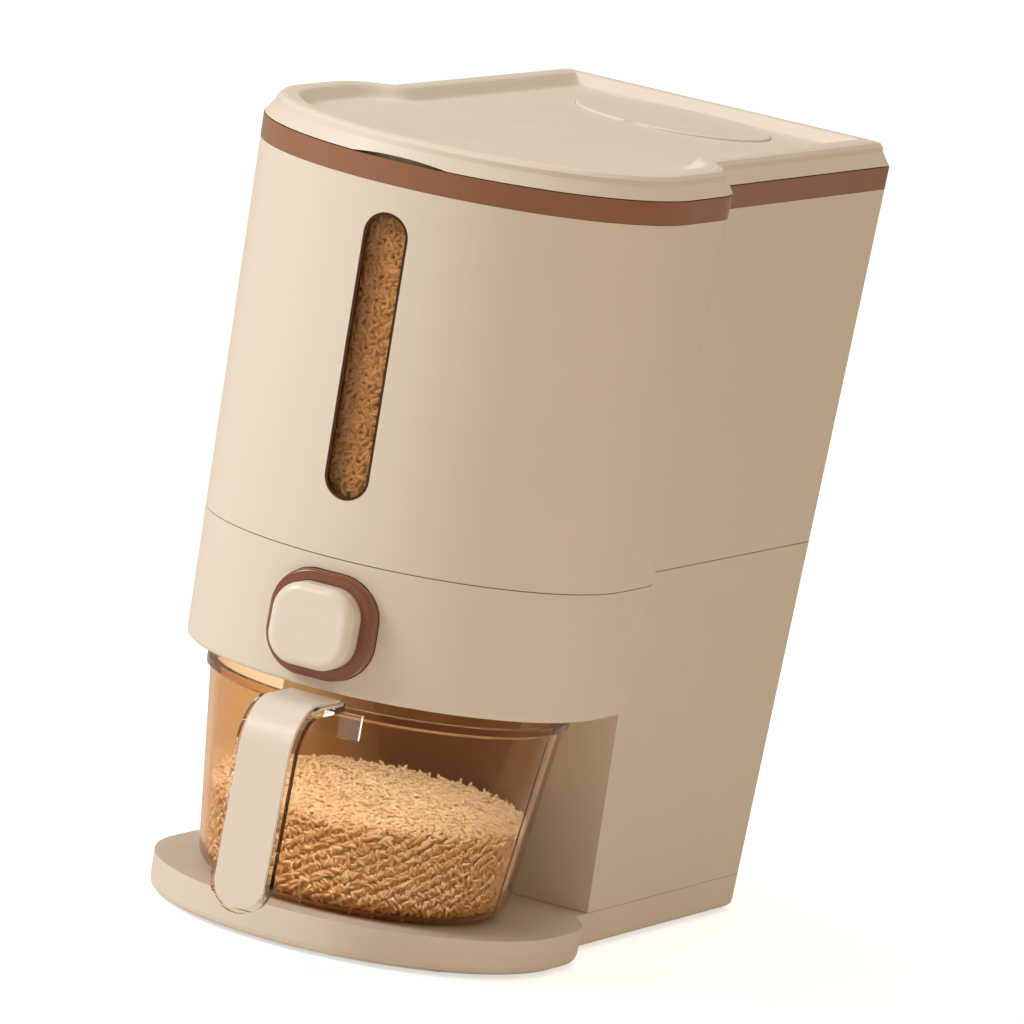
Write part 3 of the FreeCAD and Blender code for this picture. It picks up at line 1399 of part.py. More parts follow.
def problems(item):
    """Say what is wrong with one document object, or nothing."""
    found = [state for state in item.State if state in ("Invalid", "Error")]
    shape = getattr(item, "Shape", None)
    if shape is not None and item.TypeId != "Sketcher::SketchObject":
        if shape.isNull() or not shape.isValid():
            found.append("bad shape")
    return found


def main():
    fill_sheet()
    makers = [make_base_tray, make_base_cover, make_base_screws, make_rubber_feet, make_lower_housing,
              make_upper_bin, make_trim_band, make_window_bezel, make_window_lens, make_hopper, make_chute,
              make_gate_pins, make_gate, make_button_surround, make_button_cap, make_push_yoke,
              make_return_spring, make_lid_cover, make_lid_liner, make_lid_seal, make_hinge_brackets,
              make_hinge_pins, make_repellent_cap, make_repellent_basket, make_repellent_pad, make_cup,
              make_rice_portion, make_handle_frame, make_handle_strap]
    nodes = [make() for make in makers]
    doc.recompute()
    faults = [(item.Label, problems(item)) for item in doc.Objects if problems(item)]
    if faults:
        raise RuntimeError(f"not built: {faults}")
    os.makedirs("parts", exist_ok=True)
    for node in nodes:
        node.Shape.exportStep(f"parts/{node.Label}.step")
        print(node.Label, len(node.Shape.Solids), round(node.Shape.Volume))


main()
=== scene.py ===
import math

import bpy
import numpy as np
from bpy.props import FloatProperty, FloatVectorProperty, IntProperty, PointerProperty
from mathutils import Matrix, Vector


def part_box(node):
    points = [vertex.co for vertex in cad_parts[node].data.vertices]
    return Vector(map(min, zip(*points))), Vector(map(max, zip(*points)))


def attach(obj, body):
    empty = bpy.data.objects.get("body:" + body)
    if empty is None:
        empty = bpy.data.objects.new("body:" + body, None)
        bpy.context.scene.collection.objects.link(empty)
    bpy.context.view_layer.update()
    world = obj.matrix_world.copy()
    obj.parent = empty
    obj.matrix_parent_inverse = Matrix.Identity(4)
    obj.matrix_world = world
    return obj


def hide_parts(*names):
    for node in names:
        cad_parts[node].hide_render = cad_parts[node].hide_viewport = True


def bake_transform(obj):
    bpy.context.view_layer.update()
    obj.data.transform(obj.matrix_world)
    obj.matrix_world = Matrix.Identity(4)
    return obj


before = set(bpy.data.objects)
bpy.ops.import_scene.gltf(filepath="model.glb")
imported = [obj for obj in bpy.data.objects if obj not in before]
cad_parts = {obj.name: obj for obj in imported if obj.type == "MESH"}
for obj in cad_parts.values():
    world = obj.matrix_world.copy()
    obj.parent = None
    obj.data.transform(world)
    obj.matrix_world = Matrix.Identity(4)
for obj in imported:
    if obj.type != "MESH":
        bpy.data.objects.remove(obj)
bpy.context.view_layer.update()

bl_info = {
    "name": "Rice dispenser with drawer cup",
    "version": (1, 0, 0),
    "blender": (4, 5, 0),
    "location": "View3D > Sidebar > Dispenser",
    "description": "Finishes, rice, screws and studio for the packed rice dispenser",
    "category": "Object",
}

MM = 0.001
RNG_SEED = 7

# Places on the housing, in millimetres from the middle of its depth; the frame lies SET_BACK behind it.
SET_BACK = 8.27
LID_TOP = 338.0
LOBE_HALF, BOX_HALF = 93.0, 80.0
FRONT_REACH, REAR_REACH = 176.0, 176.0
SIDE_DRAFT, FRONT_DRAFT, REAR_DRAFT = 0.015, 0.064, 0.020
BAY_BACK, LOBE_CORNER = 4.0, 45.0
WALL, FIT_GAP, LENS_WALL = 2.4, 0.3, 2.0
WINDOW_LOW, WINDOW_HALF_TURN = 184.0, 0.21  # mm above the ground, and radians round the lobe
CUP_Y, CUP_FLOOR, CUP_INNER, CUP_LEAN, CUP_CORNER = -81.0, 19.0, 62.26, 0.1188, 6.8
CUP_MOUTH = 74.5
SCREW_PLACES = [(side * 58.0, y + SET_BACK) for side in (-1, 1) for y in (-84.0, 24.0, 120.0)]


def linear(hex_colour):
    """sRGB hex to linear RGB: c/12.92 below 0.04045, else ((c + 0.055) / 1.055) to the power 2.4."""
    c = np.array([int(hex_colour[i:i + 2], 16) for i in (1, 3, 5)]) / 255.0
    return tuple(np.where(c <= 0.04045, c / 12.92, ((c + 0.055) / 1.055) ** 2.4).tolist())


def colour_prop(name, hex_colour, description):
    """A colour setting whose default is given in sRGB hex."""
    return FloatVectorProperty(name=name, description=description, subtype="COLOR", size=3, min=0.0, max=1.0,
                               default=linear(hex_colour))


class DispenserFinishes(bpy.types.PropertyGroup):
    """Colours of the mouldings and of the rice."""
    cream: colour_prop("Cream ABS", "#EADFCE", "Housing, lid and button")
    cream_satin: colour_prop("Cream ABS, satin", "#F0E6D7", "Button cap and handle strap")
    brown: colour_prop("Brown ABS", "#9A684B", "Band")
    surround_brown: colour_prop("Brown ABS, surround", "#87533A", "Button surround")
    frame_brown: colour_prop("Brown ABS, frame", "#4A2712", "Window frame")
    gate_brown: colour_prop("Brown acetal", "#5A3A28", "Gate")
    amber: colour_prop("Amber SAN", "#E7D4B7", "Tint of the cup's wall")
    window_amber: colour_prop("Amber window", "#D0B08C", "Tint of the window strip")
    white: colour_prop("White polypropylene", "#EDE8DE", "Hopper, chute, liner and basket")
    rice_light: colour_prop("Rice, light", "#FFFCF4", "Palest grain")
    # rice_dark also colours the bed under the grains, as painted shade in the gaps between them
    rice_dark: colour_prop("Rice, dark", "#E8D0A6", "Darkest grain")


class DispenserRice(bpy.types.PropertyGroup):
    """Sizes of the grains and how full the cup and the bin are."""
    grain_length: FloatProperty(name="Grain length", description="Length of a grain", subtype="DISTANCE",
                                unit="LENGTH", default=4.8 * MM)
    grain_width: FloatProperty(name="Grain width", description="Width of a grain", subtype="DISTANCE",
                               unit="LENGTH", default=1.75 * MM)
    store_grain_length: FloatProperty(name="Store grain length", description="Length of a grain in the bin",
                                      subtype="DISTANCE", unit="LENGTH", default=6.2 * MM)
    store_grain_width: FloatProperty(name="Store grain width", description="Width of a grain in the bin",
                                     subtype="DISTANCE", unit="LENGTH", default=2.2 * MM)
    cup_front_level: FloatProperty(name="Cup level, front", description="Height of the rice at the cup's front",
                                   subtype="DISTANCE", unit="LENGTH", default=54.5 * MM)
    cup_rear_level: FloatProperty(name="Cup level, rear", description="Height of the rice at the cup's rear",
                                  subtype="DISTANCE", unit="LENGTH", default=60.0 * MM)
    bin_level: FloatProperty(name="Bin level", description="Height of the rice in the bin", subtype="DISTANCE",
                             unit="LENGTH", default=311.5 * MM)
    cup_side_grains: IntProperty(name="Cup side grains", description="Grains against the cup's wall", default=4200)
    cup_top_grains: IntProperty(name="Cup top grains", description="Grains on top of the portion", default=3500)
    bin_top_grains: IntProperty(name="Bin top grains", description="Grains on top of the store", default=6700)
    window_grains: IntProperty(name="Window grains", description="Grains behind the window", default=1100)


class DispenserStudio(bpy.types.PropertyGroup):
    """Camera and lamps."""
    azimuth: FloatProperty(name="Azimuth", description="Camera's turn round the object", subtype="ANGLE",
                           default=math.radians(21.722))
    elevation: FloatProperty(name="Elevation", description="Camera's height angle", subtype="ANGLE",
                             default=math.radians(8.811))
    roll: FloatProperty(name="Roll", description="Camera's roll", subtype="ANGLE", default=math.radians(10.691))
    distance: FloatProperty(name="Distance", description="From the housing's middle plane", subtype="DISTANCE",
                            unit="LENGTH", default=4.9353)
    aim_right: FloatProperty(name="Aim right", description="Camera's offset to its right", subtype="DISTANCE",
                             unit="LENGTH", default=37.925 * MM)
    aim_up: FloatProperty(name="Aim up", description="Camera's offset upward", subtype="DISTANCE",
                          unit="LENGTH", default=165.806 * MM)
    lens: FloatProperty(name="Lens", description="Focal length on a 36 mm sensor", unit="CAMERA", default=414.02)
    key_power: FloatProperty(name="Key lamp", description="Large soft lamp at the front left", unit="POWER",
                             default=44.5)
    fill_power: FloatProperty(name="Fill lamp", description="Soft lamp at the right", unit="POWER", default=5.0)
    top_power: FloatProperty(name="Top lamp", description="Soft lamp overhead", unit="POWER", default=13.0)
    rice_power: FloatProperty(name="Rice lamp", description="Narrow lamp on the rice of the cup at its place",
                              unit="POWER", default=46.0)
    ambient: FloatProperty(name="Room light", description="Strength of the pale room", default=0.30)


# ---------------------------------------------------------------- nodes and materials

def add_node(tree, kind, settings=None, links=None):
    """Add one node; a setting names a socket or a property, and a link names the socket it feeds."""
    node = tree.nodes.new(kind)
    for name, value in (settings or {}).items():
        if isinstance(name, int) or name in node.inputs:
            node.inputs[name].default_value = value
        else:
            setattr(node, name, value)
    for name, source in (links or {}).items():
        tree.links.new(source, node.inputs[name])
    return node


def new_material(name):
    """An empty material with its shader and output, as (material, tree, shader)."""
    material = bpy.data.materials.new(name)
    material.use_nodes = True
    tree = material.node_tree
    tree.nodes.clear()
    shader = add_node(tree, "ShaderNodeBsdfPrincipled")
    add_node(tree, "ShaderNodeOutputMaterial", links={"Surface": shader.outputs["BSDF"]})
    return material, tree, shader


def output_of(tree):
    """The material output of a tree that new_material made."""
    return next(node for node in tree.nodes if node.bl_idname == "ShaderNodeOutputMaterial")


def shade(colour, factor):
    """A colour made lighter or darker by a factor, with alpha 1."""
    return tuple(min(c * factor, 1.0) for c in colour) + (1.0,)


def moulded_plastic(name, colour, roughness, grain_mm, grain_depth_mm, drift=0.02, specular=0.5):
    """An opaque moulding: slow colour drift of the resin, uneven gloss, and the mould's fine texture as bump."""
    material, tree, shader = new_material(name)
    place = add_node(tree, "ShaderNodeTexCoord").outputs["Object"]
    slow = add_node(tree, "ShaderNodeTexNoise", {"Scale": 16.0, "Detail": 2.0}, {"Vector": place})
    tint = add_node(tree, "ShaderNodeMix", {"data_type": "RGBA", 6: shade(colour, 1.0 - drift),
                                            7: shade(colour, 1.0 + drift)}, {0: slow.outputs["Fac"]})
    patch = add_node(tree, "ShaderNodeTexNoise", {"Scale": 70.0, "Detail": 3.0}, {"Vector": place})
    gloss = add_node(tree, "ShaderNodeMapRange", {"From Min": 0.3, "From Max": 0.7,
                                                  "To Min": roughness * 0.9, "To Max": roughness * 1.1},
                     {"Value": patch.outputs["Fac"]})
    grain = add_node(tree, "ShaderNodeTexNoise", {"Scale": 1.0 / (grain_mm * MM), "Detail": 2.0},
                     {"Vector": place})
    bump = add_node(tree, "ShaderNodeBump", {"Strength": 1.0, "Distance": grain_depth_mm * MM},
                    {"Height": grain.outputs["Fac"]})
    shader.inputs["IOR"].default_value = 1.53
    shader.inputs["Specular IOR Level"].default_value = specular
    tree.links.new(tint.outputs[2], shader.inputs["Base Color"])
    tree.links.new(gloss.outputs["Result"], shader.inputs["Roughness"])
    tree.links.new(bump.outputs["Normal"], shader.inputs["Normal"])
    return material


def clear_plastic(name, colour, roughness, wave_mm, wave_depth_mm, shine, depth_colour=None, density=0.0):
    """A see-through moulding: tinted resin with polished faces and the faint waves of the flow. Light from
    the lamps passes each of a wall's two faces with the square root of the tint. A coloured resin also
    takes light in over its depth, so its edges are darker than its walls."""
    material, tree, shader = new_material(name)
    place = add_node(tree, "ShaderNodeTexCoord").outputs["Object"]
    slow = add_node(tree, "ShaderNodeTexNoise", {"Scale": 12.0, "Detail": 1.0}, {"Vector": place})
    tint = add_node(tree, "ShaderNodeMix", {"data_type": "RGBA", 6: shade(colour, 0.98),
                                            7: shade(colour, 1.02)}, {0: slow.outputs["Fac"]})
    wave = add_node(tree, "ShaderNodeTexNoise", {"Scale": 1.0 / (wave_mm * MM), "Detail": 1.0},
                    {"Vector": place})
    bump = add_node(tree, "ShaderNodeBump", {"Strength": 1.0, "Distance": wave_depth_mm * MM},
                    {"Height": wave.outputs["Fac"]})
    shader.inputs["IOR"].default_value = 1.49
    shader.inputs["Specular Tint"].default_value = (shine, shine, shine, 1.0)
    shader.inputs["Transmission Weight"].default_value = 1.0
    shader.inputs["Roughness"].default_value = roughness
    tree.links.new(tint.outputs[2], shader.inputs["Base Color"])
    tree.links.new(bump.outputs["Normal"], shader.inputs["Normal"])
    path = add_node(tree, "ShaderNodeLightPath")
    through = add_node(tree, "ShaderNodeBsdfTransparent", {"Color": tuple(c ** 0.5 for c in colour) + (1.0,)})
    both = add_node(tree, "ShaderNodeMixShader", {}, {0: path.outputs["Is Shadow Ray"], 1: shader.outputs["BSDF"],
                                                      2: through.outputs["BSDF"]})
    tree.links.new(both.outputs[0], output_of(tree).inputs["Surface"])
    if depth_colour:
        depth = add_node(tree, "ShaderNodeVolumeAbsorption", {"Color": depth_colour + (1.0,), "Density": density})
        tree.links.new(depth.outputs[0], output_of(tree).inputs["Volume"])
    return material


def plated_steel(name):
    """Zinc-plated steel wire and pins: bright, finely drawn, a little uneven."""
    material, tree, shader = new_material(name)
    place = add_node(tree, "ShaderNodeTexCoord").outputs["Object"]
    drawn = add_node(tree, "ShaderNodeTexNoise", {"Scale": 900.0, "Detail": 2.0}, {"Vector": place})
    gloss = add_node(tree, "ShaderNodeMapRange", {"To Min": 0.22, "To Max": 0.42},
                     {"Value": drawn.outputs["Fac"]})
    tint = add_node(tree, "ShaderNodeMix", {"data_type": "RGBA", 6: linear("#B9BBC0") + (1.0,),
                                            7: linear("#D2D2D0") + (1.0,)}, {0: drawn.outputs["Fac"]})
    shader.inputs["Metallic"].default_value = 1.0
    tree.links.new(tint.outputs[2], shader.inputs["Base Color"])
    tree.links.new(gloss.outputs["Result"], shader.inputs["Roughness"])
    return material


def pressed_paper(name):
    """Nonwoven sleeve of the repellent pad: matt short fibres."""
    material, tree, shader = new_material(name)
    place = add_node(tree, "ShaderNodeTexCoord").outputs["Object"]
    fibre = add_node(tree, "ShaderNodeTexNoise", {"Scale": 700.0, "Detail": 4.0, "Distortion": 2.5},
                     {"Vector": place})
    tint = add_node(tree, "ShaderNodeMix", {"data_type": "RGBA", 6: linear("#A9B39A") + (1.0,),
                                            7: linear("#D6DCCB") + (1.0,)}, {0: fibre.outputs["Fac"]})
    bump = add_node(tree, "ShaderNodeBump", {"Strength": 1.0, "Distance": 0.25 * MM},
                    {"Height": fibre.outputs["Fac"]})
    shader.inputs["Roughness"].default_value = 0.92
    tree.links.new(tint.outputs[2], shader.inputs["Base Color"])
    tree.links.new(bump.outputs["Normal"], shader.inputs["Normal"])
    return material


def rice_grain(name, light, dark):
    """Brown rice: each grain has its own tone, stored on the mesh, with faint streaks of bran."""
    material, tree, shader = new_material(name)
    place = add_node(tree, "ShaderNodeTexCoord").outputs["Object"]
    tone = add_node(tree, "ShaderNodeAttribute", {"attribute_name": "grain_tone"})
    tint = add_node(tree, "ShaderNodeMix", {"data_type": "RGBA", 6: dark + (1.0,), 7: light + (1.0,)},
                    {0: tone.outputs["Fac"]})
    streak = add_node(tree, "ShaderNodeTexNoise", {"Scale": 1400.0, "Detail": 2.0}, {"Vector": place})
    gloss = add_node(tree, "ShaderNodeMapRange", {"To Min": 0.55, "To Max": 0.75},
                     {"Value": streak.outputs["Fac"]})
    bump = add_node(tree, "ShaderNodeBump", {"Strength": 0.6, "Distance": 0.06 * MM},
                    {"Height": streak.outputs["Fac"]})
    shader.inputs["IOR"].default_value = 1.45
    tree.links.new(tint.outputs[2], shader.inputs["Base Color"])
    tree.links.new(gloss.outputs["Result"], shader.inputs["Roughness"])
    tree.links.new(bump.outputs["Normal"], shader.inputs["Normal"])
    return material


def dress(node, material):
    """Put one material on every slot of a CAD node."""
    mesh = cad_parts[node].data
    if not mesh.materials:
        mesh.materials.append(material)
    for index in range(len(mesh.materials)):
        mesh.materials[index] = material


# ---------------------------------------------------------------- meshes

def make_piece(name, points, faces, material, body, tone=None):
    """A mesh piece in the row frame that rides on a body, where one is named."""
    mesh = bpy.data.meshes.new(name)
    mesh.from_pydata(points, [], faces)
    mesh.shade_smooth()
    mesh.materials.append(material)
    if tone is not None:
        mesh.attributes.new("grain_tone", "FLOAT", "POINT").data.foreach_set("value", tone)
    piece = bpy.data.objects.new(name, mesh)
    bpy.context.scene.collection.objects.link(piece)
    if body:
        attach(piece, body)
    return piece


def grid_faces(rows, columns, wrap):
    """Quads between neighbouring rows and columns of a grid; wrap joins the last column to the first."""
    across = columns if wrap else columns - 1
    i, j = np.meshgrid(np.arange(rows - 1), np.arange(across), indexing="ij")
    k = (j + 1) % columns
    quads = np.stack([i * columns + j, i * columns + k, (i + 1) * columns + k, (i + 1) * columns + j], axis=-1)
    return quads.reshape(-1, 4)


def spread(count, low, high):
    """Even scatter in a rectangle: the fractional parts of i times two irrational steps."""
    i = np.arange(count) + 0.5
    share = np.stack([(i * 0.7548776662) % 1.0, (i * 0.5698402910) % 1.0], axis=-1)
    return np.array(low) + share * (np.array(high) - np.array(low))


def unit(v):
    """Vectors divided by their length."""
    return v / np.linalg.norm(v, axis=-1, keepdims=True)


def grains(rng, centres, normals, tilt, length, width):
    """Grains as spindles. Along the length t runs -1 to 1 and the radius is half the width times
    (1 - t^2)^0.45, flattened to 0.8 across; each turns at random in the plane of its normal, tips by up
    to tilt and moves to its centre. Two rings of six points and two ends each."""
    count = len(centres)
    helper = np.where(np.abs(normals[:, 2:3]) < 0.9, [[0.0, 0.0, 1.0]], [[1.0, 0.0, 0.0]])
    side = unit(np.cross(helper, normals))
    other = np.cross(normals, side)
    turn = rng.uniform(0, 2 * np.pi, (count, 1))
    tip = rng.uniform(-tilt, tilt, (count, 1))
    flat = side * np.cos(turn) + other * np.sin(turn)
    along = unit(flat * np.cos(tip) + normals * np.sin(tip))
    across = unit(np.cross(normals, along))
    up = np.cross(along, across)
    size = rng.uniform(0.85, 1.1, (count, 1))
    sides = 6
    each = 2 * sides + 2
    ring_t = np.array([-0.45, 0.45])
    angle = np.arange(sides) * 2 * np.pi / sides
    radius = (1 - ring_t ** 2) ** 0.45
    rings = [np.stack([np.full(sides, t), r * np.cos(angle), 0.8 * r * np.sin(angle)], axis=-1)
             for t, r in zip(ring_t, radius)]
    local = np.concatenate([[[-1.0, 0.0, 0.0]], *rings, [[1.0, 0.0, 0.0]]])
    local = local * [length / 2, width / 2, width / 2]
    axes = np.stack([along, across, up], axis=1) * size[:, None]
    points = centres[:, None, :] + np.einsum("kc,ncx->nkx", local, axes)
    n = 1 + np.arange(sides)
    m = 1 + np.arange(1, sides + 1) % sides
    first = np.stack([np.zeros(sides, int), m, n], axis=-1)
    low = np.stack([n, m, sides + m], axis=-1)
    high = np.stack([n, sides + m, sides + n], axis=-1)
    last = np.stack([np.full(sides, each - 1), sides + n, sides + m], axis=-1)
    template = np.concatenate([first, low, high, last])
    faces = (template[None] + each * np.arange(count)[:, None, None]).reshape(-1, 3)
    tone = np.repeat(rng.beta(2.2, 1.6, count), each)
    return points.reshape(-1, 3), faces, tone


def join_grains_and_bed(field, bed_points, bed_quads):
    """Grains followed by the plain bed under them, as one list of points, faces and tones. The bed stands for the rice
    below the top grains; its tone 0, the darkest rice colour, is painted shade in the gaps between the grains.
    """
    points, faces, tone = field
    triangles = np.concatenate([bed_quads[:, [0, 1, 2]], bed_quads[:, [0, 2, 3]]]) + len(points)
    return (np.concatenate([points, bed_points]), np.concatenate([faces, triangles]),
            np.concatenate([tone, np.zeros(len(bed_points))]))


def cup_inner_radius(level):
    """Inner radius of the cup: a wall that leans out as it rises, with a round corner at the floor."""
    height = np.asarray(level) - CUP_FLOOR
    short = np.clip(CUP_CORNER - height, 0.0, CUP_CORNER)
    return CUP_INNER + height * CUP_LEAN - (CUP_CORNER - np.sqrt(CUP_CORNER ** 2 - short ** 2))


def cup_rice_level(x, y, front, rear):
    """Top of the portion: a plane from the front level to the rear one, with two soft ripples."""
    share = (y + CUP_MOUTH) / (2 * CUP_MOUTH)
    ripple = 0.5 * np.sin(x / 11.0 + 0.6) * np.cos(y / 13.0) + 0.3 * np.sin((x + y) / 6.0)
    return front + (rear - front) * share + ripple - 0.8


def lobe_ring(level, inset):
    """Radius and middle of the round front at a level: both shrink with the drafts of the mould."""
    drop = LID_TOP - level
    radius = LOBE_HALF - drop * SIDE_DRAFT
    middle = -(FRONT_REACH - drop * FRONT_DRAFT - radius)
    return radius - inset, middle


def bin_sizes(level, inset):
    """Half width and rear of the box, and the radius and middle of the lobe's turned-in corner."""
    drop = LID_TOP - level
    box = BOX_HALF - drop * SIDE_DRAFT - inset
    rear = REAR_REACH - drop * REAR_DRAFT - inset
    turn = LOBE_CORNER - inset
    turn_x = LOBE_HALF - drop * SIDE_DRAFT - inset - turn
    return box, rear, turn, turn_x, -(BAY_BACK + inset + turn)


def bin_outline(level, inset, count):
    """The bin's plan, at equal steps along its length: half circle, turned-in corners and box."""
    radius, middle = lobe_ring(level, inset)
    box, rear, turn, turn_x, turn_y = bin_sizes(level, inset)
    angle = np.linspace(np.pi, 2 * np.pi, 61)
    arc = np.stack([radius * np.cos(angle), middle + radius * np.sin(angle)], axis=-1)
    meet = math.acos((box - turn_x) / turn)
    bend = np.linspace(0.0, meet, 16)
    right = np.stack([turn_x + turn * np.cos(bend), turn_y + turn * np.sin(bend)], axis=-1)
    left = right[::-1] * [-1.0, 1.0]
    path = np.concatenate([arc, right, [[box, rear], [-box, rear]], left, arc[:1]])
    reach = np.concatenate([[0.0], np.cumsum(np.linalg.norm(np.diff(path, axis=0), axis=1))])
    at = np.linspace(0.0, reach[-1], count, endpoint=False)
    return np.stack([np.interp(at, reach, path[:, 0]), np.interp(at, reach, path[:, 1])], axis=-1)


def inside_bin(x, y, level, inset):
    """True inside the bin's plan at a level."""
    radius, middle = lobe_ring(level, inset)
    box, rear, turn, turn_x, turn_y = bin_sizes(level, inset)
    in_round = (x ** 2 + (y - middle) ** 2 < radius ** 2) & (y <= middle)
    in_side = (np.abs(x) < radius) & (y > middle) & (y <= turn_y)
    in_turn = ((np.abs(x) - turn_x) ** 2 + (y - turn_y) ** 2 < turn ** 2) & (y > turn_y)
    in_box = (np.abs(x) < box) & (y > turn_y) & (y < rear)
    return in_round | in_side | in_turn | in_box


def bin_rice_level(x, y, level):
    """Top of the store: level, with low swells left by pouring."""
    return level + 0.9 * np.sin(x / 23.0 + 1.0) * np.cos(y / 31.0) + 0.5 * np.sin((x - y) / 12.0)


def to_frame(points):
    """Millimetres from the housing's middle to metres in the row frame."""
    return (points + [0.0, SET_BACK, 0.0]) * MM


# ---------------------------------------------------------------- operators

class DISPENSER_OT_finishes(bpy.types.Operator):
    """Give every carried-over moulding, pin and seal its finish"""
    bl_idname = "dispenser.finishes"
    bl_label = "Finishes"

    def execute(self, context):
        looks = context.scene.dispenser_finishes
        # ABS from a spark-eroded mould: fine matt grain, drawn at 0.7 mm so that it shows
        cream = moulded_plastic("abs_cream_fine_matt", looks.cream, 0.46, 0.7, 0.006)
        # ABS from a stoned mould: smoother, a broad soft highlight
        satin = moulded_plastic("abs_cream_satin", looks.cream_satin, 0.30, 1.1, 0.003)
        # ABS from a polished mould: sharp highlights with a faint orange-peel
        brown = moulded_plastic("abs_brown_polished", looks.brown, 0.2, 2.5, 0.004, 0.04, 0.4)
        dark_brown = moulded_plastic("abs_brown_surround", looks.surround_brown, 0.16, 2.5, 0.004, 0.04, 0.5)
        frame_brown = moulded_plastic("abs_brown_frame", looks.frame_brown, 0.2, 2.5, 0.004, 0.04, 0.2)
        # acetal: waxy, a soft highlight
        acetal = moulded_plastic("acetal_brown", looks.gate_brown, 0.35, 0.8, 0.004)
        # polypropylene: dull white, slightly uneven
        white = moulded_plastic("polypropylene_white", looks.white, 0.38, 1.0, 0.006)
        # pressed rubber: near black and matt
        rubber = moulded_plastic("rubber_black_pressed", linear("#2A2927"), 0.75, 0.6, 0.03, 0.1)
        # silicone: milky, low sheen
        silicone = moulded_plastic("silicone_milky", linear("#DEDAD2"), 0.5, 0.9, 0.01)
        # styrene-acrylonitrile from a polished mould: glass-clear, amber or colourless
        amber = clear_plastic("san_amber_polished", looks.amber, 0.03, 24.0, 0.02, 0.3,
                              linear("#E7C37A"), 265.0)
        window = clear_plastic("san_amber_window", looks.window_amber, 0.05, 18.0, 0.02, 0.3)
        clear = clear_plastic("san_clear_polished", linear("#F6F3EE"), 0.02, 15.0, 0.02, 1.0)
        steel = plated_steel("steel_zinc_plated")
        paper = pressed_paper("paper_nonwoven")
        rice = rice_grain("rice_brown", tuple(looks.rice_light), tuple(looks.rice_dark))
        wanted = {
            "base_tray": cream, "base_cover": cream, "lower_housing": cream, "upper_bin": cream,
            "lid_cover": cream, "hinge_brackets": cream, "repellent_cap": cream,
            "button_cap": satin, "handle_strap": satin,
            "trim_band": brown, "button_surround": dark_brown, "window_bezel": frame_brown, "gate": acetal,
            "hopper": white, "chute": white, "push_yoke": white, "lid_liner": white, "repellent_basket": white,
            "lid_seal": silicone, "rubber_feet": rubber, "base_screws": steel, "gate_pins": steel,
            "hinge_pins": steel, "return_spring": steel, "repellent_pad": paper,
            "cup": amber, "window_lens": window, "handle_frame": clear, "rice_portion": rice,
        }
        left = sorted(set(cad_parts) - set(wanted))
        if left:
            raise RuntimeError(f"no finish for {left}")
        for node, material in wanted.items():
            dress(node, material)
        return {"FINISHED"}


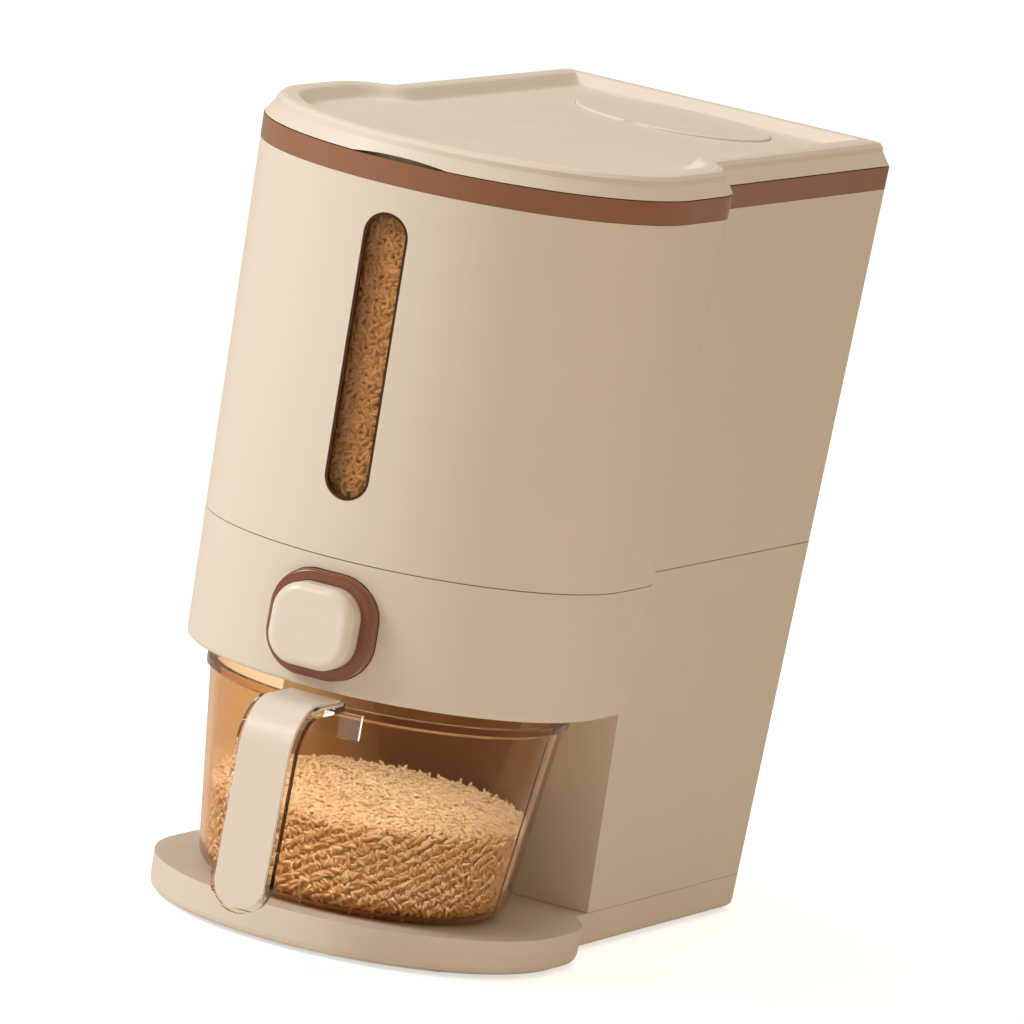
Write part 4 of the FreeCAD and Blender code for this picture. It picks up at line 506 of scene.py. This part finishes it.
class DISPENSER_OT_cup_rice(bpy.types.Operator):
    """Pour the portion of rice into the cup"""
    bl_idname = "dispenser.cup_rice"
    bl_label = "Rice in the cup"

    def execute(self, context):
        rice = context.scene.dispenser_rice
        rng = np.random.default_rng(RNG_SEED)
        length, width = rice.grain_length / MM, rice.grain_width / MM
        front, rear = rice.cup_front_level / MM, rice.cup_rear_level / MM
        tilt, around = 0.16, 96
        wall_reach, bed_reach = 69, 67  # mm from the axis, near the top of the portion
        side_gap, floor_gap, top_gap = 2.8, 3.4, 1.5
        # grains against the wall: their normals point to the cup's axis
        at = spread(rice.cup_side_grains, [0.0, 0.0], [2 * np.pi, 1.0])
        edge = np.stack([np.cos(at[:, 0]), np.sin(at[:, 0])], axis=-1)
        top = cup_rice_level(edge[:, 0] * wall_reach, edge[:, 1] * wall_reach, front, rear)
        level = CUP_FLOOR + 1.3 + at[:, 1] * (top - CUP_FLOOR - 1.3)
        back_off = width * 0.5 + length * 0.5 * math.sin(tilt) + 0.25 + rng.uniform(0.0, 1.2, len(at))
        radius = cup_inner_radius(level) - back_off
        side = np.column_stack([edge * radius[:, None], level])
        side_normal = np.column_stack([-edge, np.zeros(len(at))])
        # grains on the top: scattered over the disc, area for area
        disc = spread(rice.cup_top_grains, [0.0, 0.0], [1.0, 2 * np.pi])
        reach = np.sqrt(disc[:, 0]) * (cup_inner_radius(front) - length * 0.5 - 0.4)
        x, y = reach * np.cos(disc[:, 1]), reach * np.sin(disc[:, 1])
        z = cup_rice_level(x, y, front, rear) + rng.uniform(-0.9, 0.5, len(x))
        top_grains = np.column_stack([x, y, z])
        top_normal = np.tile([0.0, 0.0, 1.0], (len(x), 1))
        field_side = grains(rng, side, side_normal, tilt, length, width)
        field_top = grains(rng, top_grains, top_normal, 0.45, length, width)
        field = (np.concatenate([field_side[0], field_top[0]]),
                 np.concatenate([field_side[1], field_top[1] + len(field_side[0])]),
                 np.concatenate([field_side[2], field_top[2]]))
        # bed: a closed body of the portion, a little inside the grains, in the darkest rice tone as painted shade in
        # the gaps
        angle = np.arange(around) * 2 * np.pi / around
        floor = np.full(around, CUP_FLOOR + 0.5)
        rows = []
        for share in np.linspace(0.001, 1.0, 9):
            ring = share * (cup_inner_radius(floor + 1.0) - floor_gap)
            rows.append(np.column_stack([ring * np.cos(angle), ring * np.sin(angle), floor]))
        edge_top = cup_rice_level(np.cos(angle) * bed_reach, np.sin(angle) * bed_reach, front, rear) - top_gap
        for share in np.linspace(0.05, 1.0, 14):
            z = CUP_FLOOR + 1.5 + share * (edge_top - CUP_FLOOR - 1.5)
            ring = cup_inner_radius(z) - side_gap
            rows.append(np.column_stack([ring * np.cos(angle), ring * np.sin(angle), z]))
        for share in np.linspace(0.98, 0.001, 24):
            ring = share * (cup_inner_radius(edge_top) - side_gap)
            x, y = ring * np.cos(angle), ring * np.sin(angle)
            rows.append(np.column_stack([x, y, cup_rice_level(x, y, front, rear) - top_gap]))
        bed = np.concatenate(rows)
        points, faces, tone = join_grains_and_bed(field, bed, grid_faces(len(rows), around, True))
        points = to_frame(points + [0.0, CUP_Y, 0.0])
        material = bpy.data.materials["rice_brown"]
        piece = make_piece("rice_in_cup", points, faces, material, "drawer_cup", tone)
        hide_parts("rice_portion")
        return {"FINISHED"}


class DISPENSER_OT_bin_rice(bpy.types.Operator):
    """Fill the bin: the grains that the window and the open lid show"""
    bl_idname = "dispenser.bin_rice"
    bl_label = "Rice in the bin"

    def execute(self, context):
        rice = context.scene.dispenser_rice
        rng = np.random.default_rng(RNG_SEED + 1)
        length, width = rice.store_grain_length / MM, rice.store_grain_width / MM
        level = rice.bin_level / MM
        material = bpy.data.materials["rice_brown"]
        # behind the window: grains lie against the strip, on the curve of the round front
        tilt = 0.2
        at = spread(rice.window_grains, [-WINDOW_HALF_TURN, WINDOW_LOW], [WINDOW_HALF_TURN, level - 1.5])
        inset = WALL + FIT_GAP + LENS_WALL + 0.35 + width * 0.5 + length * 0.5 * math.sin(tilt)
        radius, middle = lobe_ring(at[:, 1], inset + rng.uniform(0.0, 1.5, len(at)))
        centres = np.column_stack([radius * np.sin(at[:, 0]), middle - radius * np.cos(at[:, 0]), at[:, 1]])
        normals = np.column_stack([-np.sin(at[:, 0]), np.cos(at[:, 0]), np.zeros(len(at))])
        field = grains(rng, centres, normals, tilt, length, width)
        u, v = np.meshgrid(np.linspace(-WINDOW_HALF_TURN - 0.03, WINDOW_HALF_TURN + 0.03, 25),
                           np.linspace(WINDOW_LOW - 2.0, level - 1.0, 60))
        # bed: a curved sheet behind the grains, in the darkest rice tone as painted shade in the gaps
        radius, middle = lobe_ring(v, inset + 2.2)
        bed = np.stack([radius * np.sin(u), middle - radius * np.cos(u), v], axis=-1).reshape(-1, 3)
        points, faces, tone = join_grains_and_bed(field, bed, grid_faces(60, 25, False))
        make_piece("rice_behind_window", to_frame(points), faces, material, "housing", tone)
        # top of the store, out to the walls
        at = spread(rice.bin_top_grains * 3 // 2, [-95.0, -180.0], [95.0, 180.0])
        margin = WALL + 0.5 + length * 0.5
        x, y = at[inside_bin(at[:, 0], at[:, 1], level, margin)].T
        z = bin_rice_level(x, y, level) + rng.uniform(-0.9, 0.3, len(x))
        up = np.tile([0.0, 0.0, 1.0], (len(x), 1))
        field = grains(rng, np.column_stack([x, y, z]), up, 0.4, length, width)
        # bed: the plan's outline drawn in towards a hub, at the level less the grains' depth, in the darkest rice tone
        # as painted shade in the gaps
        rings, around = 36, 200
        outline = bin_outline(level, WALL + 0.6, around)
        hub = np.array([0.0, -BAY_BACK - 6.0])
        share = np.linspace(1.0, 0.002, rings)[:, None, None]
        plan = hub + share * (outline[None] - hub)
        z = bin_rice_level(plan[..., 0], plan[..., 1], level) - 1.7
        bed = np.concatenate([plan, z[..., None]], axis=-1).reshape(-1, 3)
        points, faces, tone = join_grains_and_bed(field, bed, grid_faces(rings, around, True))
        make_piece("rice_in_bin", to_frame(points), faces, material, "housing", tone)
        return {"FINISHED"}


class DISPENSER_OT_screws(bpy.types.Operator):
    """Replace the plain screws with threaded ones that have a cross recess"""
    bl_idname = "dispenser.screws"
    bl_label = "Base screws"

    def execute(self, context):
        head, shank, pitch, ridge_height, tip, around = 3.0, 1.28, 1.1, 0.2, 11.8, 48
        angle = np.arange(around) * 2 * np.pi / around

        def ring(radius, z):
            return np.stack([radius * np.cos(angle), radius * np.sin(angle), np.full(around, z)], axis=-1)[None]

        # head seen from below: a flat dome whose middle is sunk in a cross where |x| or |y| is small
        share = np.linspace(0.02, 1.0, 22)[:, None]
        radius = head * share
        x, y = radius * np.cos(angle), radius * np.sin(angle)
        arm = np.minimum(np.abs(x), np.abs(y))
        sunk = np.clip((0.42 - arm) / 0.16, 0.0, 1.0) * np.clip((1.9 - radius) / 0.35, 0.0, 1.0)
        dome = 1.52 + 0.35 * share ** 4
        rows = [np.stack([x, y, dome + 1.0 * sunk * (1.0 - 0.3 * share)], axis=-1)]
        # upper side of the head, then the shank with its thread: the shank's radius plus a ridge that climbs
        # one pitch a turn and fades towards the tip
        rows += [ring(head, 3.05), ring(shank, 3.08)]
        z = np.linspace(3.2, 11.6, 90)[:, None]
        phase = (z / pitch - angle / (2 * np.pi)) % 1.0
        ridge = shank + ridge_height * np.clip(1.0 - np.abs(phase - 0.5) * 4.0, 0.0, 1.0)
        ridge = ridge * np.clip((11.9 - z) / 1.2, 0.15, 1.0)
        rows.append(np.stack([ridge * np.cos(angle), ridge * np.sin(angle), z + 0 * angle], axis=-1))
        rows.append(ring(0.01, tip))
        one = np.concatenate(rows)
        quads = grid_faces(len(one), around, True)[:, ::-1]
        one = one.reshape(-1, 3)
        places = np.array([(x, y, 0.0) for x, y in SCREW_PLACES])
        points = (one[None] + places[:, None]).reshape(-1, 3) * MM
        faces = (quads[None] + len(one) * np.arange(len(places))[:, None, None]).reshape(-1, 4)
        screws = make_piece("base_screws_threaded", points, faces, plated_steel("steel_screw"), "housing")
        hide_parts("base_screws")
        return {"FINISHED"}


class DISPENSER_OT_spring(bpy.types.Operator):
    """Replace the return spring with one whose ends are closed"""
    bl_idname = "dispenser.spring"
    bl_label = "Return spring"

    def execute(self, context):
        # round wire along a helix about Y, the first and last turns wound close and the ends ground flat
        low, high = (np.array(corner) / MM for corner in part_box("return_spring"))
        middle = (low + high) / 2
        turns, wire, coil, closed = 8, 0.6, 5.5, 1.25
        run = high[1] - low[1] - 2 * wire
        turn = np.linspace(0.0, turns, turns * 36 + 1)[:, None]
        along = low[1] + wire + np.interp(turn, [0, 1, turns - 1, turns], [0, closed, run - closed, run])
        sides = 10
        around = np.arange(sides) * 2 * np.pi / sides
        thick = np.full_like(turn, wire)
        thick[[0, -1]] = 0.01
        out = coil + thick * np.cos(around)
        y = np.clip(along + thick * np.sin(around), low[1] + 0.1, high[1] - 0.1)
        angle = turn * 2 * np.pi
        points = np.stack([middle[0] + out * np.cos(angle), y, middle[2] + out * np.sin(angle)], axis=-1)
        spring = make_piece("return_spring_ground", points.reshape(-1, 3) * MM, grid_faces(len(turn), sides, True),
                            bpy.data.materials["steel_zinc_plated"], None)
        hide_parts("return_spring")
        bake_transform(spring)
        return {"FINISHED"}


class DISPENSER_OT_stage(bpy.types.Operator):
    """Set up the pale floor, the lamps and the camera"""
    bl_idname = "dispenser.stage"
    bl_label = "Studio"

    def execute(self, context):
        studio, scene = context.scene.dispenser_studio, context.scene
        scene.view_settings.view_transform = "Standard"
        self.floor(scene)
        self.room(scene, studio.ambient)
        self.soft_box(scene, "key", studio.key_power, "#F8FAFF", 1.1, (-1.62, -1.5, 1.7))
        self.soft_box(scene, "fill", studio.fill_power, "#FFE2BC", 1.2, (1.9, -0.7, 0.7))
        self.soft_box(scene, "top", studio.top_power, "#F3F7FF", 1.3, (0.1, 0.2, 2.1))
        self.rice_lamp(scene, studio.rice_power)
        self.camera(scene, studio)
        return {"FINISHED"}

    def floor(self, scene):
        """A wide flat sheet under the feet, white to the camera except where the object shades it."""
        material, tree, shader = new_material("paper_backdrop_white")
        shader.inputs["Base Color"].default_value = linear("#F6F1E8") + (1.0,)
        shader.inputs["Roughness"].default_value = 0.9
        path = add_node(tree, "ShaderNodeLightPath")
        seen = add_node(tree, "ShaderNodeMath", {"operation": "MAXIMUM"},
                        {0: path.outputs["Is Camera Ray"], 1: path.outputs["Is Transmission Ray"]})
        lift = add_node(tree, "ShaderNodeEmission", {"Color": (1.0, 1.0, 1.0, 1.0)})
        place = add_node(tree, "ShaderNodeTexCoord").outputs["Object"]
        near = add_node(tree, "ShaderNodeTexGradient", {"gradient_type": "SPHERICAL"}, {"Vector": place})
        # the glow is lower round the feet, so that the object's own shade shows there
        level = add_node(tree, "ShaderNodeMapRange", {"From Min": 0.3, "From Max": 0.8, "To Min": 0.85, "To Max": 0.62},
                         {"Value": near.outputs["Fac"]})
        glow = add_node(tree, "ShaderNodeMath", {"operation": "MULTIPLY"},
                        {0: seen.outputs[0], 1: level.outputs["Result"]})
        tree.links.new(glow.outputs[0], lift.inputs["Strength"])
        both = add_node(tree, "ShaderNodeAddShader", {}, {0: shader.outputs["BSDF"], 1: lift.outputs[0]})
        tree.links.new(both.outputs[0], output_of(tree).inputs["Surface"])
        half = 14.0
        mesh = bpy.data.meshes.new("floor")
        mesh.from_pydata([(-half, -half, 0), (half, -half, 0), (half, half, 0), (-half, half, 0)], [], [(0, 1, 2, 3)])
        mesh.materials.append(material)
        floor = bpy.data.objects.new("floor", mesh)
        scene.collection.objects.link(floor)

    def room(self, scene, strength):
        """A pale room: soft light from all sides, plain white where it is seen directly or through glass."""
        world = bpy.data.worlds.new("pale_room")
        scene.world = world
        world.use_nodes = True
        tree = world.node_tree
        tree.nodes.clear()
        path = add_node(tree, "ShaderNodeLightPath")
        seen = add_node(tree, "ShaderNodeMath", {"operation": "MAXIMUM"},
                        {0: path.outputs["Is Camera Ray"], 1: path.outputs["Is Transmission Ray"]})
        level = add_node(tree, "ShaderNodeMapRange", {"To Min": strength, "To Max": 1.0}, {"Value": seen.outputs[0]})
        tint = add_node(tree, "ShaderNodeMix", {"data_type": "RGBA", 6: linear("#FFE6C6") + (1.0,),
                                                7: (1.0, 1.0, 1.0, 1.0)}, {0: seen.outputs[0]})
        light = add_node(tree, "ShaderNodeBackground", {}, {"Color": tint.outputs[2],
                                                            "Strength": level.outputs["Result"]})
        add_node(tree, "ShaderNodeOutputWorld", links={"Surface": light.outputs["Background"]})

    def hang(self, scene, data, power, colour, place, aim):
        """Put a lamp at its place, turned to face a point."""
        data.energy, data.color = power, linear(colour)
        lamp = bpy.data.objects.new(data.name, data)
        lamp.location = place
        lamp.rotation_euler = (aim - place).to_track_quat("-Z", "Y").to_euler()
        scene.collection.objects.link(lamp)
        return lamp

    def soft_box(self, scene, name, power, colour, size, place):
        """A square lamp that faces the middle of the body."""
        data = bpy.data.lights.new(name, "AREA")
        data.shape, data.size = "SQUARE", size
        self.hang(scene, data, power, colour, Vector(place), Vector((0.0, 0.0, 0.17)))

    def rice_lamp(self, scene, power):
        """A narrow lamp that reaches the rice alone, through the housing, and only where the cup is at home."""
        low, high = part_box("rice_portion")
        aim = (low + high) / 2
        data = bpy.data.lights.new("rice", "SPOT")
        data.spot_size, data.spot_blend, data.shadow_soft_size = math.radians(11.0), 0.25, 0.05
        lamp = self.hang(scene, data, power, "#E6EEFF", aim + Vector((0.15, -0.45, 0.88)), aim)
        rice = bpy.data.collections.new("rice_alone")
        rice.objects.link(bpy.data.objects["rice_in_cup"])
        lamp.light_linking.receiver_collection = rice
        lamp.light_linking.blocker_collection = rice

    def camera(self, scene, studio):
        """Back from the object along azimuth and elevation, rolled, then moved sideways and up."""
        a, e, r = studio.azimuth, studio.elevation, studio.roll
        back = Vector((math.sin(a) * math.cos(e), -math.cos(a) * math.cos(e), math.sin(e)))
        level_right = (-back).cross(Vector((0, 0, 1))).normalized()
        level_up = level_right.cross(-back)
        right = math.cos(r) * level_right + math.sin(r) * level_up
        up = -math.sin(r) * level_right + math.cos(r) * level_up
        data = bpy.data.cameras.new("camera")
        data.sensor_width, data.lens = 36.0, studio.lens
        data.clip_start, data.clip_end = 0.1, 60.0
        camera = bpy.data.objects.new("camera", data)
        place = right * studio.aim_right + up * studio.aim_up + back * studio.distance
        place = place + Vector((0.0, SET_BACK * MM, 0.0))
        turned = Matrix((right, up, back)).transposed().to_4x4()
        camera.matrix_world = Matrix.Translation(place) @ turned
        scene.collection.objects.link(camera)
        scene.camera = camera


PIECES = (DISPENSER_OT_finishes, DISPENSER_OT_cup_rice, DISPENSER_OT_bin_rice, DISPENSER_OT_screws,
          DISPENSER_OT_spring, DISPENSER_OT_stage)


class DISPENSER_PT_panel(bpy.types.Panel):
    """Sizes, colours and steps of the dispenser"""
    bl_idname = "DISPENSER_PT_panel"
    bl_label = "Rice dispenser"
    bl_space_type = "VIEW_3D"
    bl_region_type = "UI"
    bl_category = "Dispenser"

    def draw(self, context):
        for step in PIECES:
            self.layout.operator(step.bl_idname)
        for group in ("dispenser_finishes", "dispenser_rice", "dispenser_studio"):
            settings = getattr(context.scene, group)
            for name in settings.bl_rna.properties.keys():
                if name not in ("rna_type", "name"):
                    self.layout.prop(settings, name)


CLASSES = (DispenserFinishes, DispenserRice, DispenserStudio) + PIECES + (DISPENSER_PT_panel,)


def register():
    for cls in CLASSES:
        bpy.utils.register_class(cls)
    bpy.types.Scene.dispenser_finishes = PointerProperty(type=DispenserFinishes)
    bpy.types.Scene.dispenser_rice = PointerProperty(type=DispenserRice)
    bpy.types.Scene.dispenser_studio = PointerProperty(type=DispenserStudio)


def unregister():
    del bpy.types.Scene.dispenser_studio
    del bpy.types.Scene.dispenser_rice
    del bpy.types.Scene.dispenser_finishes
    for cls in reversed(CLASSES):
        bpy.utils.unregister_class(cls)


def main():
    """Register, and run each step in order."""
    register()
    bpy.ops.dispenser.finishes()
    bpy.ops.dispenser.cup_rice()
    bpy.ops.dispenser.bin_rice()
    bpy.ops.dispenser.screws()
    bpy.ops.dispenser.spring()
    bpy.ops.dispenser.stage()


if __name__ == "__main__":
    main()
